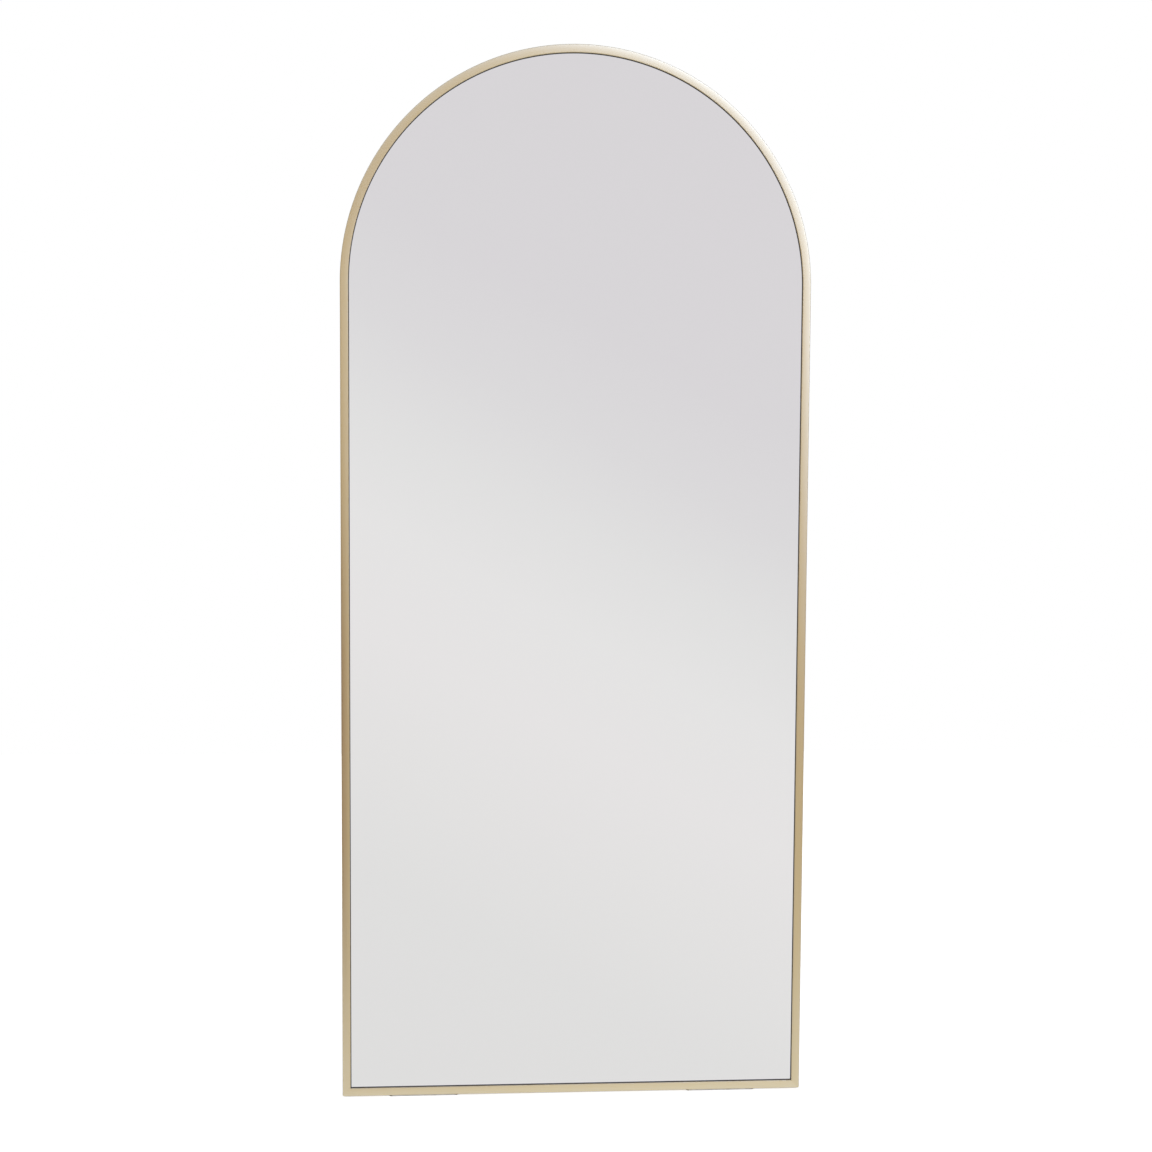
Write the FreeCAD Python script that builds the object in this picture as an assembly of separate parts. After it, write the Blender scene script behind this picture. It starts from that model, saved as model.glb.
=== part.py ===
import FreeCAD, Part
import math
import os

from FreeCAD import Vector

# Leaning floor mirror with an arched top. Millimetres.
# X runs to the right, Y runs from the front of the mirror to the wall behind it, Z runs up.
# The origin is on the floor, in the middle of the width and of the whole depth.

# ---- frame ----
frame_width = 800.0
frame_height = 1800.0
frame_depth = 30.0
face_width = 14.0
wall = 1.5
lip_depth = 3.0
chamber_width = 7.0
outer_edge_radius = 1.5
lip_edge_chamfer = 0.6
bottom_corner_radius = 2.5

# ---- gasket, glass and what backs it ----
gasket_thickness = 1.0
gasket_show = 1.1
root_width = 1.1
root_depth = 1.1
root_gap = 0.1
glass_thickness = 4.0
glass_edge_gap = 1.0
setting_block_length = 60.0
setting_block_inset = 200.0
film_thickness = 0.3
film_margin = 2.0
cushion_thickness = 1.2
batten_width = 60.0
batten_end_gap = 0.5
upper_batten_drop = 110.0
lower_batten_rise = 250.0
panel_gap = 2.0

# ---- back board ----
board_thickness = 3.5
board_recess = 7.0
board_edge_gap = 0.5

# ---- corner keys and their grub screws ----
key_leg = 55.0
key_gap = 0.1
key_tip_chamfer = 1.5
grub_offset = 36.0
grub_radius = 2.0
grub_length = 4.0
grub_point = 0.8

# ---- board screws, which cut their own holes ----
board_screw_radius = 1.45
board_screw_head_radius = 2.8
board_screw_head_height = 1.8
board_screw_crown_radius = 1.6
board_screw_length = 9.5
board_screw_pitch = 300.0
first_screw_past_key = 30.0
batten_screw_margin = 45.0
screw_point = 2.0
screw_tip_radius = 0.3
screw_sides = 8

# ---- ring hangers ----
hanger_inset = 140.0
strap_width = 18.0
strap_thickness = 1.2
strap_end_margin = 10.0
strap_blend = 3.5
strap_fold_gap = 0.14
ring_wire_radius = 1.75
ring_pin_gap = 0.08
ring_half_width = 14.0
ring_corner_radius = 4.0
ring_drop = 26.0
ring_rest_gap = 0.3
ring_wire_sides = 10
ring_bow_steps = 18
ring_corner_steps = 4
hanger_screw_drop = 14.0
hanger_screw_pitch = 18.0
hanger_screw_radius = 1.9
hanger_screw_head_radius = 3.8
hanger_screw_length = 12.4
hanger_screw_gap = 0.25

# ---- rubber ----
bumper_standout = 2.5
bumper_radius = 10.0
bumper_taper = 1.5
rubber_edge_chamfer = 1.5
round_sides = 24
bumper_inset = 42.0
bumper_rise = 60.0
wall_pad_length = 160.0
wall_pad_width = 10.0
wall_pad_inset = 11.0
foot_thickness = 2.0
foot_length = 120.0
foot_inset = 140.0
foot_set_back = 1.5
foot_rear_margin = 1.5
foot_groove_count = 4
foot_groove_width = 1.6
foot_groove_depth = 0.7
foot_end_radius = 5.0

# ---- levels and planes that follow from the sizes above ----
half_width = frame_width / 2
frame_bottom = foot_thickness
arch_centre = frame_bottom + frame_height - half_width
total_depth = frame_depth + bumper_standout
front_y = -total_depth / 2
box_width = chamber_width + 2 * wall
lip_width = face_width - box_width
glass_inset = box_width + glass_edge_gap
glass_front = lip_depth + gasket_thickness
glass_back = glass_front + glass_thickness
film_back = glass_back + film_thickness
cushion_back = film_back + cushion_thickness
board_back = frame_depth - board_recess
board_front = board_back - board_thickness
board_inset = wall + board_edge_gap
root_middle = box_width + lip_width / 2
chamber_middle = board_front / 2
key_width = chamber_width - 2 * key_gap
screw_line = (board_inset + box_width) / 2
first_screw = key_leg + first_screw_past_key
upper_batten_z = arch_centre - upper_batten_drop
lower_batten_z = frame_bottom + box_width + lower_batten_rise
middle_batten_z = (upper_batten_z + lower_batten_z) / 2
batten_levels = {
    "upper_batten": upper_batten_z,
    "middle_batten": middle_batten_z,
    "lower_batten": lower_batten_z,
}
batten_reach = half_width - box_width - batten_end_gap
ring_bore_radius = ring_wire_radius + ring_pin_gap
loop_radius = ring_bore_radius + strap_thickness
strap_stack = 2 * strap_thickness
pivot_depth = board_back + loop_radius
pivot_z = upper_batten_z + hanger_screw_drop + hanger_screw_pitch / 2
strap_foot_z = pivot_z - hanger_screw_drop - hanger_screw_pitch - strap_end_margin
hanger_screw_levels = [pivot_z - hanger_screw_drop, pivot_z - hanger_screw_drop - hanger_screw_pitch]
hanger_x = half_width - hanger_inset
setting_block_x = half_width - setting_block_inset
bumper_x = half_width - bumper_inset
low_bumper_z = frame_bottom + bumper_rise
foot_x = half_width - foot_inset


def point(x, depth, z):
    """A point given by its distance behind the front face instead of by Y."""
    return Vector(x, front_y + depth, z)


def rounded_wire(corners, place):
    """A closed wire through corners (a, b, radius), each rounded by its radius and put in space by place."""
    pieces = []
    count = len(corners)
    for index, (a, b, radius) in enumerate(corners):
        here = Vector(a, b, 0)
        before = (Vector(*corners[index - 1][:2], 0) - here).normalize()
        after = (Vector(*corners[(index + 1) % count][:2], 0) - here).normalize()
        half_angle = before.getAngle(after) / 2
        trim = radius / math.tan(half_angle)
        middle = here + (before + after).normalize() * (radius / math.sin(half_angle) - radius)
        pieces.append((here + before * trim, middle, here + after * trim, radius))
    edges = []
    for index, (start, middle, end, radius) in enumerate(pieces):
        if radius > 0:
            arc = Part.Arc(place(start.x, start.y), place(middle.x, middle.y), place(end.x, end.y))
            edges.append(arc.toShape())
        following = pieces[(index + 1) % count][0]
        if (following - end).Length > 1e-6:
            line = Part.LineSegment(place(end.x, end.y), place(following.x, following.y))
            edges.append(line.toShape())
    return Part.Wire(edges)


def arch_outline(inset, depth):
    """The outline of the frame, drawn in by an inset all round, as a wire at one depth."""
    side = half_width - inset
    foot = point(-side, depth, frame_bottom + inset)
    left_spring = point(-side, depth, arch_centre)
    apex = point(0, depth, arch_centre + side)
    right_spring = point(side, depth, arch_centre)
    right_foot = point(side, depth, frame_bottom + inset)
    return Part.Wire([
        Part.LineSegment(foot, left_spring).toShape(),
        Part.Arc(left_spring, apex, right_spring).toShape(),
        Part.LineSegment(right_spring, right_foot).toShape(),
        Part.LineSegment(right_foot, foot).toShape(),
    ])


def plate(inset, depth_from, depth_to):
    """A flat sheet with the frame's outline, drawn in by an inset."""
    return Part.Face(arch_outline(inset, depth_from)).extrude(Vector(0, depth_to - depth_from, 0))


def ring(outer_inset, inner_inset, depth_from, depth_to):
    return plate(outer_inset, depth_from, depth_to).cut(plate(inner_inset, depth_from, depth_to))


def block(x_from, x_to, depth_from, depth_to, z_from, z_to):
    size = (x_to - x_from, depth_to - depth_from, z_to - z_from)
    return Part.makeBox(*size, point(x_from, depth_from, z_from))


def drill(radius, x, z, depth_from, depth_to):
    """A round cutter along Y."""
    return Part.makeCylinder(radius, depth_to - depth_from, point(x, depth_from, z), Vector(0, 1, 0))


def mirrored(shape):
    """The same shape on the other side of the middle of the mirror."""
    return shape.mirror(Vector(0, 0, 0), Vector(1, 0, 0))


def fused(shapes):
    return shapes[0].multiFuse(shapes[1:]).removeSplitter()


# ---- many-sided bodies ----
def polygon(centre, along, across, radius, sides):
    """The corners of a regular polygon square to a direction, with one corner towards another direction."""
    aside = along.cross(across)
    corners = []
    for index in range(sides):
        angle = 2 * math.pi * index / sides
        corners.append(centre + across * (radius * math.cos(angle)) + aside * (radius * math.sin(angle)))
    return corners


def flat_face(corners):
    return Part.Face(Part.makePolygon(corners + corners[:1]))


def skinned(sections, closed=False):
    """A solid with flat sides between polygons of as many corners; a closed one runs back to its first polygon."""
    faces = []
    pairs = list(zip(sections, sections[1:]))
    if closed:
        pairs.append((sections[-1], sections[0]))
    else:
        faces += [flat_face(sections[0]), flat_face(sections[-1])]
    for near, far in pairs:
        for index in range(len(near)):
            before = index - 1
            faces.append(flat_face([near[before], near[index], far[index], far[before]]))
    solid = Part.Solid(Part.makeShell(faces))
    return solid if solid.Volume > 0 else solid.reversed()


def turned(x, z, stations, sides):
    """A many-sided round body along Y, through (radius, depth) stations."""
    along = Vector(0, 1, 0)
    across = Vector(1, 0, 0)
    return skinned([polygon(point(x, depth, z), along, across, radius, sides) for radius, depth in stations])


# ---- the metal section ----
def section_corners():
    """Inward distance from the outer face, depth from the front face, and corner radius."""
    groove_outer = root_middle - root_width / 2 - root_gap
    groove_inner = root_middle + root_width / 2 + root_gap
    groove_floor = lip_depth - root_depth - root_gap
    return [
        (0, 0, outer_edge_radius),
        (face_width - lip_edge_chamfer, 0, 0),
        (face_width, lip_edge_chamfer, 0),
        (face_width, lip_depth, 0),
        (groove_inner, lip_depth, 0),
        (groove_inner, groove_floor, 0),
        (groove_outer, groove_floor, 0),
        (groove_outer, lip_depth, 0),
        (box_width, lip_depth, 0),
        (box_width, board_front, 0),
        (wall, board_front, 0),
        (wall, frame_depth, 0),
        (0, frame_depth, 0),
    ]


def chamber_corners():
    """The hollow of the section, which takes the corner keys."""
    far_wall = box_width - wall
    back_wall = board_front - wall
    return [(wall, wall, 0), (far_wall, wall, 0), (far_wall, back_wall, 0), (wall, back_wall, 0)]


def section_face(place):
    outer = Part.Face(rounded_wire(section_corners(), place))
    return outer.cut(Part.Face(rounded_wire(chamber_corners(), place)))


def mitre_block():
    """Everything under the two 45 degree mitres, which belongs to the bottom rail."""
    rise = 2 * face_width
    corners = [
        (-half_width, frame_bottom, 0),
        (half_width, frame_bottom, 0),
        (half_width - rise, frame_bottom + rise, 0),
        (-half_width + rise, frame_bottom + rise, 0),
    ]
    wire = rounded_wire(corners, lambda x, z: point(x, 0, z))
    return Part.Face(wire).extrude(Vector(0, frame_depth, 0))


def corner_trimmers():
    """What is ground off the two outer bottom corners."""
    radius = bottom_corner_radius
    square = block(-half_width, -half_width + radius, 0, frame_depth, frame_bottom, frame_bottom + radius)
    left = square.cut(drill(radius, -half_width + radius, frame_bottom + radius, 0, frame_depth))
    return left, mirrored(left)


def evenly_spaced(start, end, longest_step):
    """Places from start to end, both included, with equal steps no longer than asked."""
    steps = max(1, math.ceil(abs(end - start) / longest_step - 1e-6))
    return [start + (end - start) * index / steps for index in range(steps + 1)]


def edge_screw_places():
    """X and Z of the screws that hold the board to the frame, along the screw line."""
    side = half_width - screw_line
    low = frame_bottom + screw_line
    places = []
    for z in evenly_spaced(frame_bottom + first_screw, arch_centre, board_screw_pitch):
        places += [(-side, z), (side, z)]
    angle_step = board_screw_pitch / side
    for angle in evenly_spaced(0, math.pi, angle_step)[1:-1]:
        places.append((-side * math.cos(angle), arch_centre + side * math.sin(angle)))
    for x in evenly_spaced(-half_width + first_screw, half_width - first_screw, board_screw_pitch):
        places.append((x, low))
    return places


def batten_screw_places():
    side = batten_reach - batten_screw_margin
    return [(x, z) for z in batten_levels.values() for x in (-side, 0, side)]


def hanger_screw_places():
    return [(x, z) for x in (-hanger_x, hanger_x) for z in hanger_screw_levels]


def arched_rail():
    """One length of the section, bent over the arch: a straight stile, a half turn and a straight stile."""
    stile_length = arch_centre - frame_bottom
    stile_face = section_face(lambda u, v: point(-half_width + u, v, frame_bottom))
    left_stile = stile_face.extrude(Vector(0, 0, stile_length))
    arch_face = section_face(lambda u, v: point(-half_width + u, v, arch_centre))
    arch = arch_face.revolve(point(0, 0, arch_centre), Vector(0, 1, 0), 180)
    rail = fused([left_stile, arch, mirrored(left_stile)])
    return rail.cut([mitre_block(), *corner_trimmers()])


def bottom_rail():
    face = section_face(lambda u, v: point(-half_width, v, frame_bottom + u))
    rail = face.extrude(Vector(frame_width, 0, 0)).common(mitre_block())
    return rail.cut(list(corner_trimmers()))


# ---- corner joint ----
def left_corner_key():
    """An L of two legs that fill the chambers of the stile and the bottom rail."""
    low = wall + key_gap
    high = low + key_width
    corners = [
        (low, low, 0),
        (key_leg, low, key_tip_chamfer),
        (key_leg, high, key_tip_chamfer),
        (high, high, 0),
        (high, key_leg, key_tip_chamfer),
        (low, key_leg, key_tip_chamfer),
    ]
    outline = rounded_wire(corners, lambda x, z: point(x - half_width, wall + key_gap, z + frame_bottom))
    thickness = board_front - 2 * wall - 2 * key_gap
    return Part.Face(outline).extrude(Vector(0, thickness, 0))


def grub_screw(head, outwards):
    """A grub screw flush with the inner wall of the section, with its point pressed into the key."""
    across = Vector(0, 1, 0)
    neck = head + outwards * (grub_length - grub_point)
    point_end = head + outwards * grub_length
    return skinned([
        polygon(head, outwards, across, grub_radius, screw_sides),
        polygon(neck, outwards, across, grub_radius, screw_sides),
        polygon(point_end, outwards, across, grub_radius - grub_point, screw_sides),
    ])


def corner_key_screws():
    """Two screws in each bottom corner: one in the stile and one in the bottom rail."""
    in_stile = point(-half_width + box_width, chamber_middle, frame_bottom + grub_offset)
    in_rail = point(-half_width + grub_offset, chamber_middle, frame_bottom + box_width)
    left = [grub_screw(in_stile, Vector(-1, 0, 0)), grub_screw(in_rail, Vector(0, 0, -1))]
    return Part.makeCompound(left + [mirrored(screw) for screw in left])


# ---- glass and gasket ----
def glazing_gasket():
    """A flat band between the lip and the glass, with a root pressed into the groove of the lip."""
    band = ring(glass_inset, face_width + gasket_show, lip_depth, glass_front)
    root_outer = root_middle - root_width / 2
    root = ring(root_outer, root_outer + root_width, lip_depth - root_depth, lip_depth)
    return band.fuse(root).removeSplitter()


def setting_block(middle_x):
    reach = setting_block_length / 2
    low = frame_bottom + box_width
    return block(middle_x - reach, middle_x + reach, glass_front, glass_back, low, low + glass_edge_gap)


# ---- what fills the frame behind the glass ----
def cavity_slice(inset, z_from, z_to):
    """A slice of the space between the cushion sheet and the board, with the arch's outline."""
    cavity = plate(inset, cushion_back, board_front)
    return cavity.common(block(-half_width, half_width, 0, frame_depth, z_from, z_to))


def batten(level):
    return cavity_slice(box_width + batten_end_gap, level - batten_width / 2, level + batten_width / 2)


def packing_panels():
    """Four panels that fill the bays below, between and above the battens."""
    side_inset = box_width + panel_gap
    reach = batten_width / 2 + panel_gap
    floor_z = frame_bottom + side_inset
    top_z = frame_bottom + frame_height
    return {
        "bottom_packing_panel": cavity_slice(side_inset, floor_z, lower_batten_z - reach),
        "lower_packing_panel": cavity_slice(side_inset, lower_batten_z + reach, middle_batten_z - reach),
        "upper_packing_panel": cavity_slice(side_inset, middle_batten_z + reach, upper_batten_z - reach),
        "top_packing_panel": cavity_slice(side_inset, upper_batten_z + reach, top_z),
    }


# ---- screws ----
def screw_shank(x, z, radius, tip_depth, top_depth):
    stations = [(screw_tip_radius, tip_depth), (radius, tip_depth + screw_point), (radius, top_depth)]
    return turned(x, z, stations, screw_sides)


def board_screw(x, z):
    """A pan head screw, with its head on the back of the board and its point forwards."""
    crown = board_back + board_screw_head_height
    shank = screw_shank(x, z, board_screw_radius, board_back - board_screw_length, board_back)
    head_stations = [(board_screw_head_radius, board_back), (board_screw_crown_radius, crown)]
    head = turned(x, z, head_stations, screw_sides)
    return shank.fuse(head)


def board_screws():
    return Part.makeCompound([board_screw(x, z) for x, z in edge_screw_places() + batten_screw_places()])


def hanger_screw(x, z):
    """A countersunk screw, flush with the strap."""
    top = board_back + strap_stack
    shank = screw_shank(x, z, hanger_screw_radius, top - hanger_screw_length, board_back)
    head_stations = [(hanger_screw_radius, board_back), (hanger_screw_head_radius, top)]
    head = turned(x, z, head_stations, screw_sides)
    return shank.fuse(head).removeSplitter()


def hanger_screws():
    return Part.makeCompound([hanger_screw(x, z) for x, z in hanger_screw_places()])


# ---- ring hangers ----
def countersink(x, z):
    """The cone in the strap that a screw's head sits in."""
    stations = [
        (hanger_screw_radius + hanger_screw_gap, board_back),
        (hanger_screw_head_radius + hanger_screw_gap, board_back + strap_stack),
    ]
    return turned(x, z, stations, round_sides)


def strap_side():
    """The folded strap seen from the side: two layers on the board and a loop round the ring's bar."""
    centre = Vector(pivot_depth, pivot_z, 0)
    shoulder = Vector(board_back + strap_stack, pivot_z - loop_radius - strap_blend, 0)
    to_shoulder = shoulder - centre
    lean = math.atan2(to_shoulder.y, to_shoulder.x) + math.acos(loop_radius / to_shoulder.Length)
    touch = centre + Vector(math.cos(lean), math.sin(lean), 0) * loop_radius
    over = centre + Vector(0, loop_radius, 0)
    wall_side = centre - Vector(loop_radius, 0, 0)
    foot_out = Vector(shoulder.x, strap_foot_z, 0)
    foot_in = Vector(wall_side.x, strap_foot_z, 0)
    left = -strap_width / 2

    def place(corner):
        return point(left, corner.x, corner.y)

    return Part.Wire([
        Part.LineSegment(place(foot_in), place(foot_out)).toShape(),
        Part.LineSegment(place(foot_out), place(shoulder)).toShape(),
        Part.LineSegment(place(shoulder), place(touch)).toShape(),
        Part.Arc(place(touch), place(over), place(wall_side)).toShape(),
        Part.LineSegment(place(wall_side), place(foot_in)).toShape(),
    ])


def hanger_strap(middle_x):
    reach = strap_width / 2
    strap = Part.Face(strap_side()).extrude(Vector(strap_width, 0, 0))
    bore = Part.makeCylinder(ring_bore_radius, strap_width, point(-reach, pivot_depth, pivot_z), Vector(1, 0, 0))
    fold_middle = board_back + strap_thickness
    slit = block(
        -reach,
        reach,
        fold_middle - strap_fold_gap / 2,
        fold_middle + strap_fold_gap / 2,
        strap_foot_z,
        pivot_z,
    )
    plan_corners = [
        (-reach, pivot_z + 2 * loop_radius, 0),
        (reach, pivot_z + 2 * loop_radius, 0),
        (reach, strap_foot_z, reach * 0.95),
        (-reach, strap_foot_z, reach * 0.95),
    ]
    plan = Part.Face(rounded_wire(plan_corners, lambda x, z: point(x, board_back, z)))
    rounded = strap.common(plan.extrude(Vector(0, board_recess, 0)))
    rounded = rounded.cut([bore, slit])
    rounded.translate(Vector(middle_x, 0, 0))
    sinks = [countersink(x, z) for x, z in hanger_screw_places()]
    return rounded.cut(sinks)


def ring_rest_angle():
    """How far the ring leans out from the strap when it hangs down against it."""
    standing = board_back + strap_stack + ring_wire_radius + ring_rest_gap - pivot_depth
    return math.asin(standing / ring_drop)


def hanger_ring(middle_x):
    """A D of round wire: a straight bar in the strap's loop, two rounded corners, two sides and a half circle."""
    bar_end = ring_half_width - ring_corner_radius
    bar_start = point(-bar_end, pivot_depth, pivot_z)
    bar = Part.makeCylinder(ring_wire_radius, 2 * bar_end, bar_start, Vector(1, 0, 0))
    wire = skinned(ring_sections(), closed=True).fuse(bar)
    wire.rotate(point(0, pivot_depth, pivot_z), Vector(1, 0, 0), math.degrees(ring_rest_angle()))
    wire.translate(Vector(middle_x, 0, 0))
    return wire


def ring_sections():
    """Cross-sections of the wire all round the D, clockwise as seen from the wall side of the board."""
    corner = ring_corner_radius
    bar_end = ring_half_width - corner
    bow_level = ring_half_width - ring_drop
    bends = [
        (bar_end, -corner, corner, 90, 0, ring_corner_steps),
        (0, bow_level, ring_half_width, 0, -180, ring_bow_steps),
        (-bar_end, -corner, corner, 180, 90, ring_corner_steps),
    ]
    sections = []
    for centre_x, centre_z, radius, start, end, steps in bends:
        for index in range(steps + 1):
            angle = math.radians(start + (end - start) * index / steps)
            outwards = Vector(math.cos(angle), 0, math.sin(angle))
            centre = point(centre_x, pivot_depth, pivot_z + centre_z) + outwards * radius
            heading = outwards.cross(Vector(0, -1, 0))
            sections.append(polygon(centre, heading, outwards, ring_wire_radius, ring_wire_sides))
    return sections


# ---- rubber ----
def bumper(x, z):
    """A tapered round bumper that stands out past the frame."""
    end = frame_depth + bumper_standout
    end_radius = bumper_radius - bumper_taper
    stations = [
        (bumper_radius, board_back),
        (end_radius, end - rubber_edge_chamfer),
        (end_radius - rubber_edge_chamfer, end),
    ]
    return turned(x, z, stations, round_sides)


def top_wall_pad():
    """A strip that follows the top of the arch, just inside the rim."""
    end = frame_depth + bumper_standout
    shoulder = end - rubber_edge_chamfer
    outer = half_width - wall_pad_inset
    inner = outer - wall_pad_width
    corners = [
        (inner, board_back, 0),
        (outer, board_back, 0),
        (outer, shoulder, 0),
        (outer - rubber_edge_chamfer, end, 0),
        (inner + rubber_edge_chamfer, end, 0),
        (inner, shoulder, 0),
    ]
    turn = math.degrees(wall_pad_length / ((outer + inner) / 2))
    profile = Part.Face(rounded_wire(corners, lambda radius, depth: point(radius, depth, arch_centre)))
    strip = profile.revolve(point(0, 0, arch_centre), Vector(0, 1, 0), -turn)
    strip.rotate(point(0, 0, arch_centre), Vector(0, 1, 0), -(180 - turn) / 2)
    return strip


def foot_pad(middle_x):
    """A flat pad with grooves along its underside."""
    reach = foot_length / 2
    depth_from = foot_set_back
    depth_to = frame_depth - foot_rear_margin
    corners = [
        (middle_x - reach, depth_from, foot_end_radius),
        (middle_x + reach, depth_from, foot_end_radius),
        (middle_x + reach, depth_to, foot_end_radius),
        (middle_x - reach, depth_to, foot_end_radius),
    ]
    plan = Part.Face(rounded_wire(corners, lambda x, depth: point(x, depth, 0)))
    pad = plan.extrude(Vector(0, 0, foot_thickness))
    pitch = (depth_to - depth_from) / (foot_groove_count + 1)
    grooves = []
    for index in range(foot_groove_count):
        middle = depth_from + pitch * (index + 1)
        near = middle - foot_groove_width / 2
        far = middle + foot_groove_width / 2
        grooves.append(block(middle_x - reach, middle_x + reach, near, far, 0, foot_groove_depth))
    return pad.cut(grooves)


def mirror_pieces():
    """Every piece of the mirror by name."""
    key = left_corner_key()
    pieces = {
        "arched_rail": arched_rail(),
        "bottom_rail": bottom_rail(),
        "left_corner_key": key,
        "right_corner_key": mirrored(key),
        "corner_key_screws": corner_key_screws(),
        "glazing_gasket": glazing_gasket(),
        "mirror_glass": plate(glass_inset, glass_front, glass_back),
        "left_setting_block": setting_block(-setting_block_x),
        "right_setting_block": setting_block(setting_block_x),
        "safety_film": plate(glass_inset + film_margin, glass_back, film_back),
        "cushion_sheet": plate(glass_inset, film_back, cushion_back),
        "backing_board": plate(board_inset, board_front, board_back),
        "board_screws": board_screws(),
        "left_hanger_strap": hanger_strap(-hanger_x),
        "right_hanger_strap": hanger_strap(hanger_x),
        "left_hanger_ring": hanger_ring(-hanger_x),
        "right_hanger_ring": hanger_ring(hanger_x),
        "hanger_screws": hanger_screws(),
        "top_wall_pad": top_wall_pad(),
        "upper_left_bumper": bumper(-bumper_x, arch_centre),
        "upper_right_bumper": bumper(bumper_x, arch_centre),
        "lower_left_bumper": bumper(-bumper_x, low_bumper_z),
        "lower_right_bumper": bumper(bumper_x, low_bumper_z),
        "left_foot_pad": foot_pad(-foot_x),
        "right_foot_pad": foot_pad(foot_x),
    }
    pieces.update({name: batten(level) for name, level in batten_levels.items()})
    pieces.update(packing_panels())
    return pieces


os.makedirs("parts", exist_ok=True)
for name, shape in mirror_pieces().items():
    shape.exportStep(f"parts/{name}.step")
    print(name, "solids", len(shape.Solids), "volume", round(shape.Volume), "valid", shape.isValid())
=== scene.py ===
import math
import random

import bmesh
import bpy
from mathutils import Euler, Matrix, Vector


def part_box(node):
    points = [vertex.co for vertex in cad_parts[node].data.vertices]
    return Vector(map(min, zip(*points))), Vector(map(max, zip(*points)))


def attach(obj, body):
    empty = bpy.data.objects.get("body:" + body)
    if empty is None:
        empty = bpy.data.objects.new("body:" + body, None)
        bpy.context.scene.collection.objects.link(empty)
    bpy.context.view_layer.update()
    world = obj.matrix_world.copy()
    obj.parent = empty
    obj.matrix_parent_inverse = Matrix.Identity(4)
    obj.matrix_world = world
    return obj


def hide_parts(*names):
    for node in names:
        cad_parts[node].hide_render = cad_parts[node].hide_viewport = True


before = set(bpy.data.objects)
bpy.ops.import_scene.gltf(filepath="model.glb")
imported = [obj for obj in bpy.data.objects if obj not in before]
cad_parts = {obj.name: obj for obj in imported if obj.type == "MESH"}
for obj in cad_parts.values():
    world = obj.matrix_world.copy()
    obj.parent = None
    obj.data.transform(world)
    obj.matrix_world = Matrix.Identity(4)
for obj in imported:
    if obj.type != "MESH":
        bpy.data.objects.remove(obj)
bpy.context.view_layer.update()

bl_info = {
    "name": "Arched floor mirror",
    "version": (1, 0, 0),
    "blender": (4, 5, 0),
    "location": "View3D > Sidebar > Floor mirror",
    "description": "Builds the metal rails, glass, back and hangers of an arched leaning mirror",
    "category": "Mesh",
}

MM = 0.001
SHARP = math.radians(35)
CORNER_STEPS = 4

rail_low, rail_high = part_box("arched_rail")
board_low, board_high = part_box("backing_board")
floor_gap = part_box("left_foot_pad")[1].z
front_y = rail_low.y
board_front = board_low.y - front_y
board_back = board_high.y - front_y
bumper_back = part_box("upper_left_bumper")[1].y - front_y


# ---------------------------------------------------------------- properties
def number(name, description, default, unit="NONE"):
    return bpy.props.FloatProperty(name=name, description=description, unit=unit, default=default)


def length(name, description, default):
    return number(name, description, default, "LENGTH")


def tint(name, description, default):
    return bpy.props.FloatVectorProperty(
        name=name, description=description, subtype="COLOR", size=3, min=0, max=1, default=default)


def light(name, description, default):
    return bpy.props.FloatVectorProperty(
        name=name, description=description, subtype="COLOR", size=3, default=default)


class MirrorRailSizes(bpy.types.PropertyGroup):
    width: length("Width", "Outer width of the frame", rail_high.x - rail_low.x)
    top: length("Top", "Height of the top of the arch", rail_high.z)
    bottom: length("Bottom", "Height of the underside of the bottom rail", floor_gap)
    depth: length("Depth", "Depth of the metal section", rail_high.y - rail_low.y)
    face: length("Face", "Width of the metal seen from the front", 14 * MM)
    box_width: length("Box", "Width of the section behind its lip", 10 * MM)
    wall: length("Wall", "Thickness of the metal", 1.5 * MM)
    lip: length("Lip", "Depth of the lip in front of the glass", 3 * MM)
    outer_radius: length("Outer edge", "Radius of the outer front edge", 1.5 * MM)
    lip_chamfer: length("Lip chamfer", "Chamfer along the inner front edge", 0.6 * MM)
    crown: length("Crown", "Fall of the face at half its width from its highest line", 0.25 * MM)
    crown_line: length("Crown line", "Highest line of the face, from the outside of the frame", 9.5 * MM)
    corner_radius: length("Corner", "Radius ground on the two bottom corners", 2.5 * MM)
    board_front: length("Rebate", "Depth at which the back board sits in the frame", board_front)
    arch_steps: bpy.props.IntProperty(
        name="Arch steps", description="Steps round the half circle", default=144, min=16)


class MirrorGasketSizes(bpy.types.PropertyGroup):
    inset: length("Inset", "Hidden edge, from the outside of the frame", 11 * MM)
    show: length("Show", "Width seen inside the metal lip", 1.1 * MM)
    thickness: length("Thickness", "Thickness between lip and glass", 1 * MM)
    root: length("Root", "Side of the square root in the groove", 1.1 * MM)


class MirrorBackSizes(bpy.types.PropertyGroup):
    board_inset: length("Board inset", "Edge of the board, from the outside of the frame", 2 * MM)
    board_edge: length("Board edge", "Chamfer on the sawn edge of the board", 0.4 * MM)
    screw_pitch: length("Screw pitch", "Longest distance between edge screws", 300 * MM)
    first_screw: length("First screw", "Distance of the first screws from a bottom corner", 85 * MM)
    screw_line: length("Screw line", "Screws, from the outside of the frame", 6 * MM)
    head_radius: length("Head radius", "Radius of a pan head", 2.8 * MM)
    head_height: length("Head height", "Height of a pan head", 1.8 * MM)
    shank_radius: length("Shank radius", "Radius of a board screw's thread", 1.45 * MM)
    shank_length: length("Shank length", "Length of a board screw below its head", 9.5 * MM)
    batten_inset: length("Batten inset", "Screws, from the ends of a batten", 45 * MM)


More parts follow.
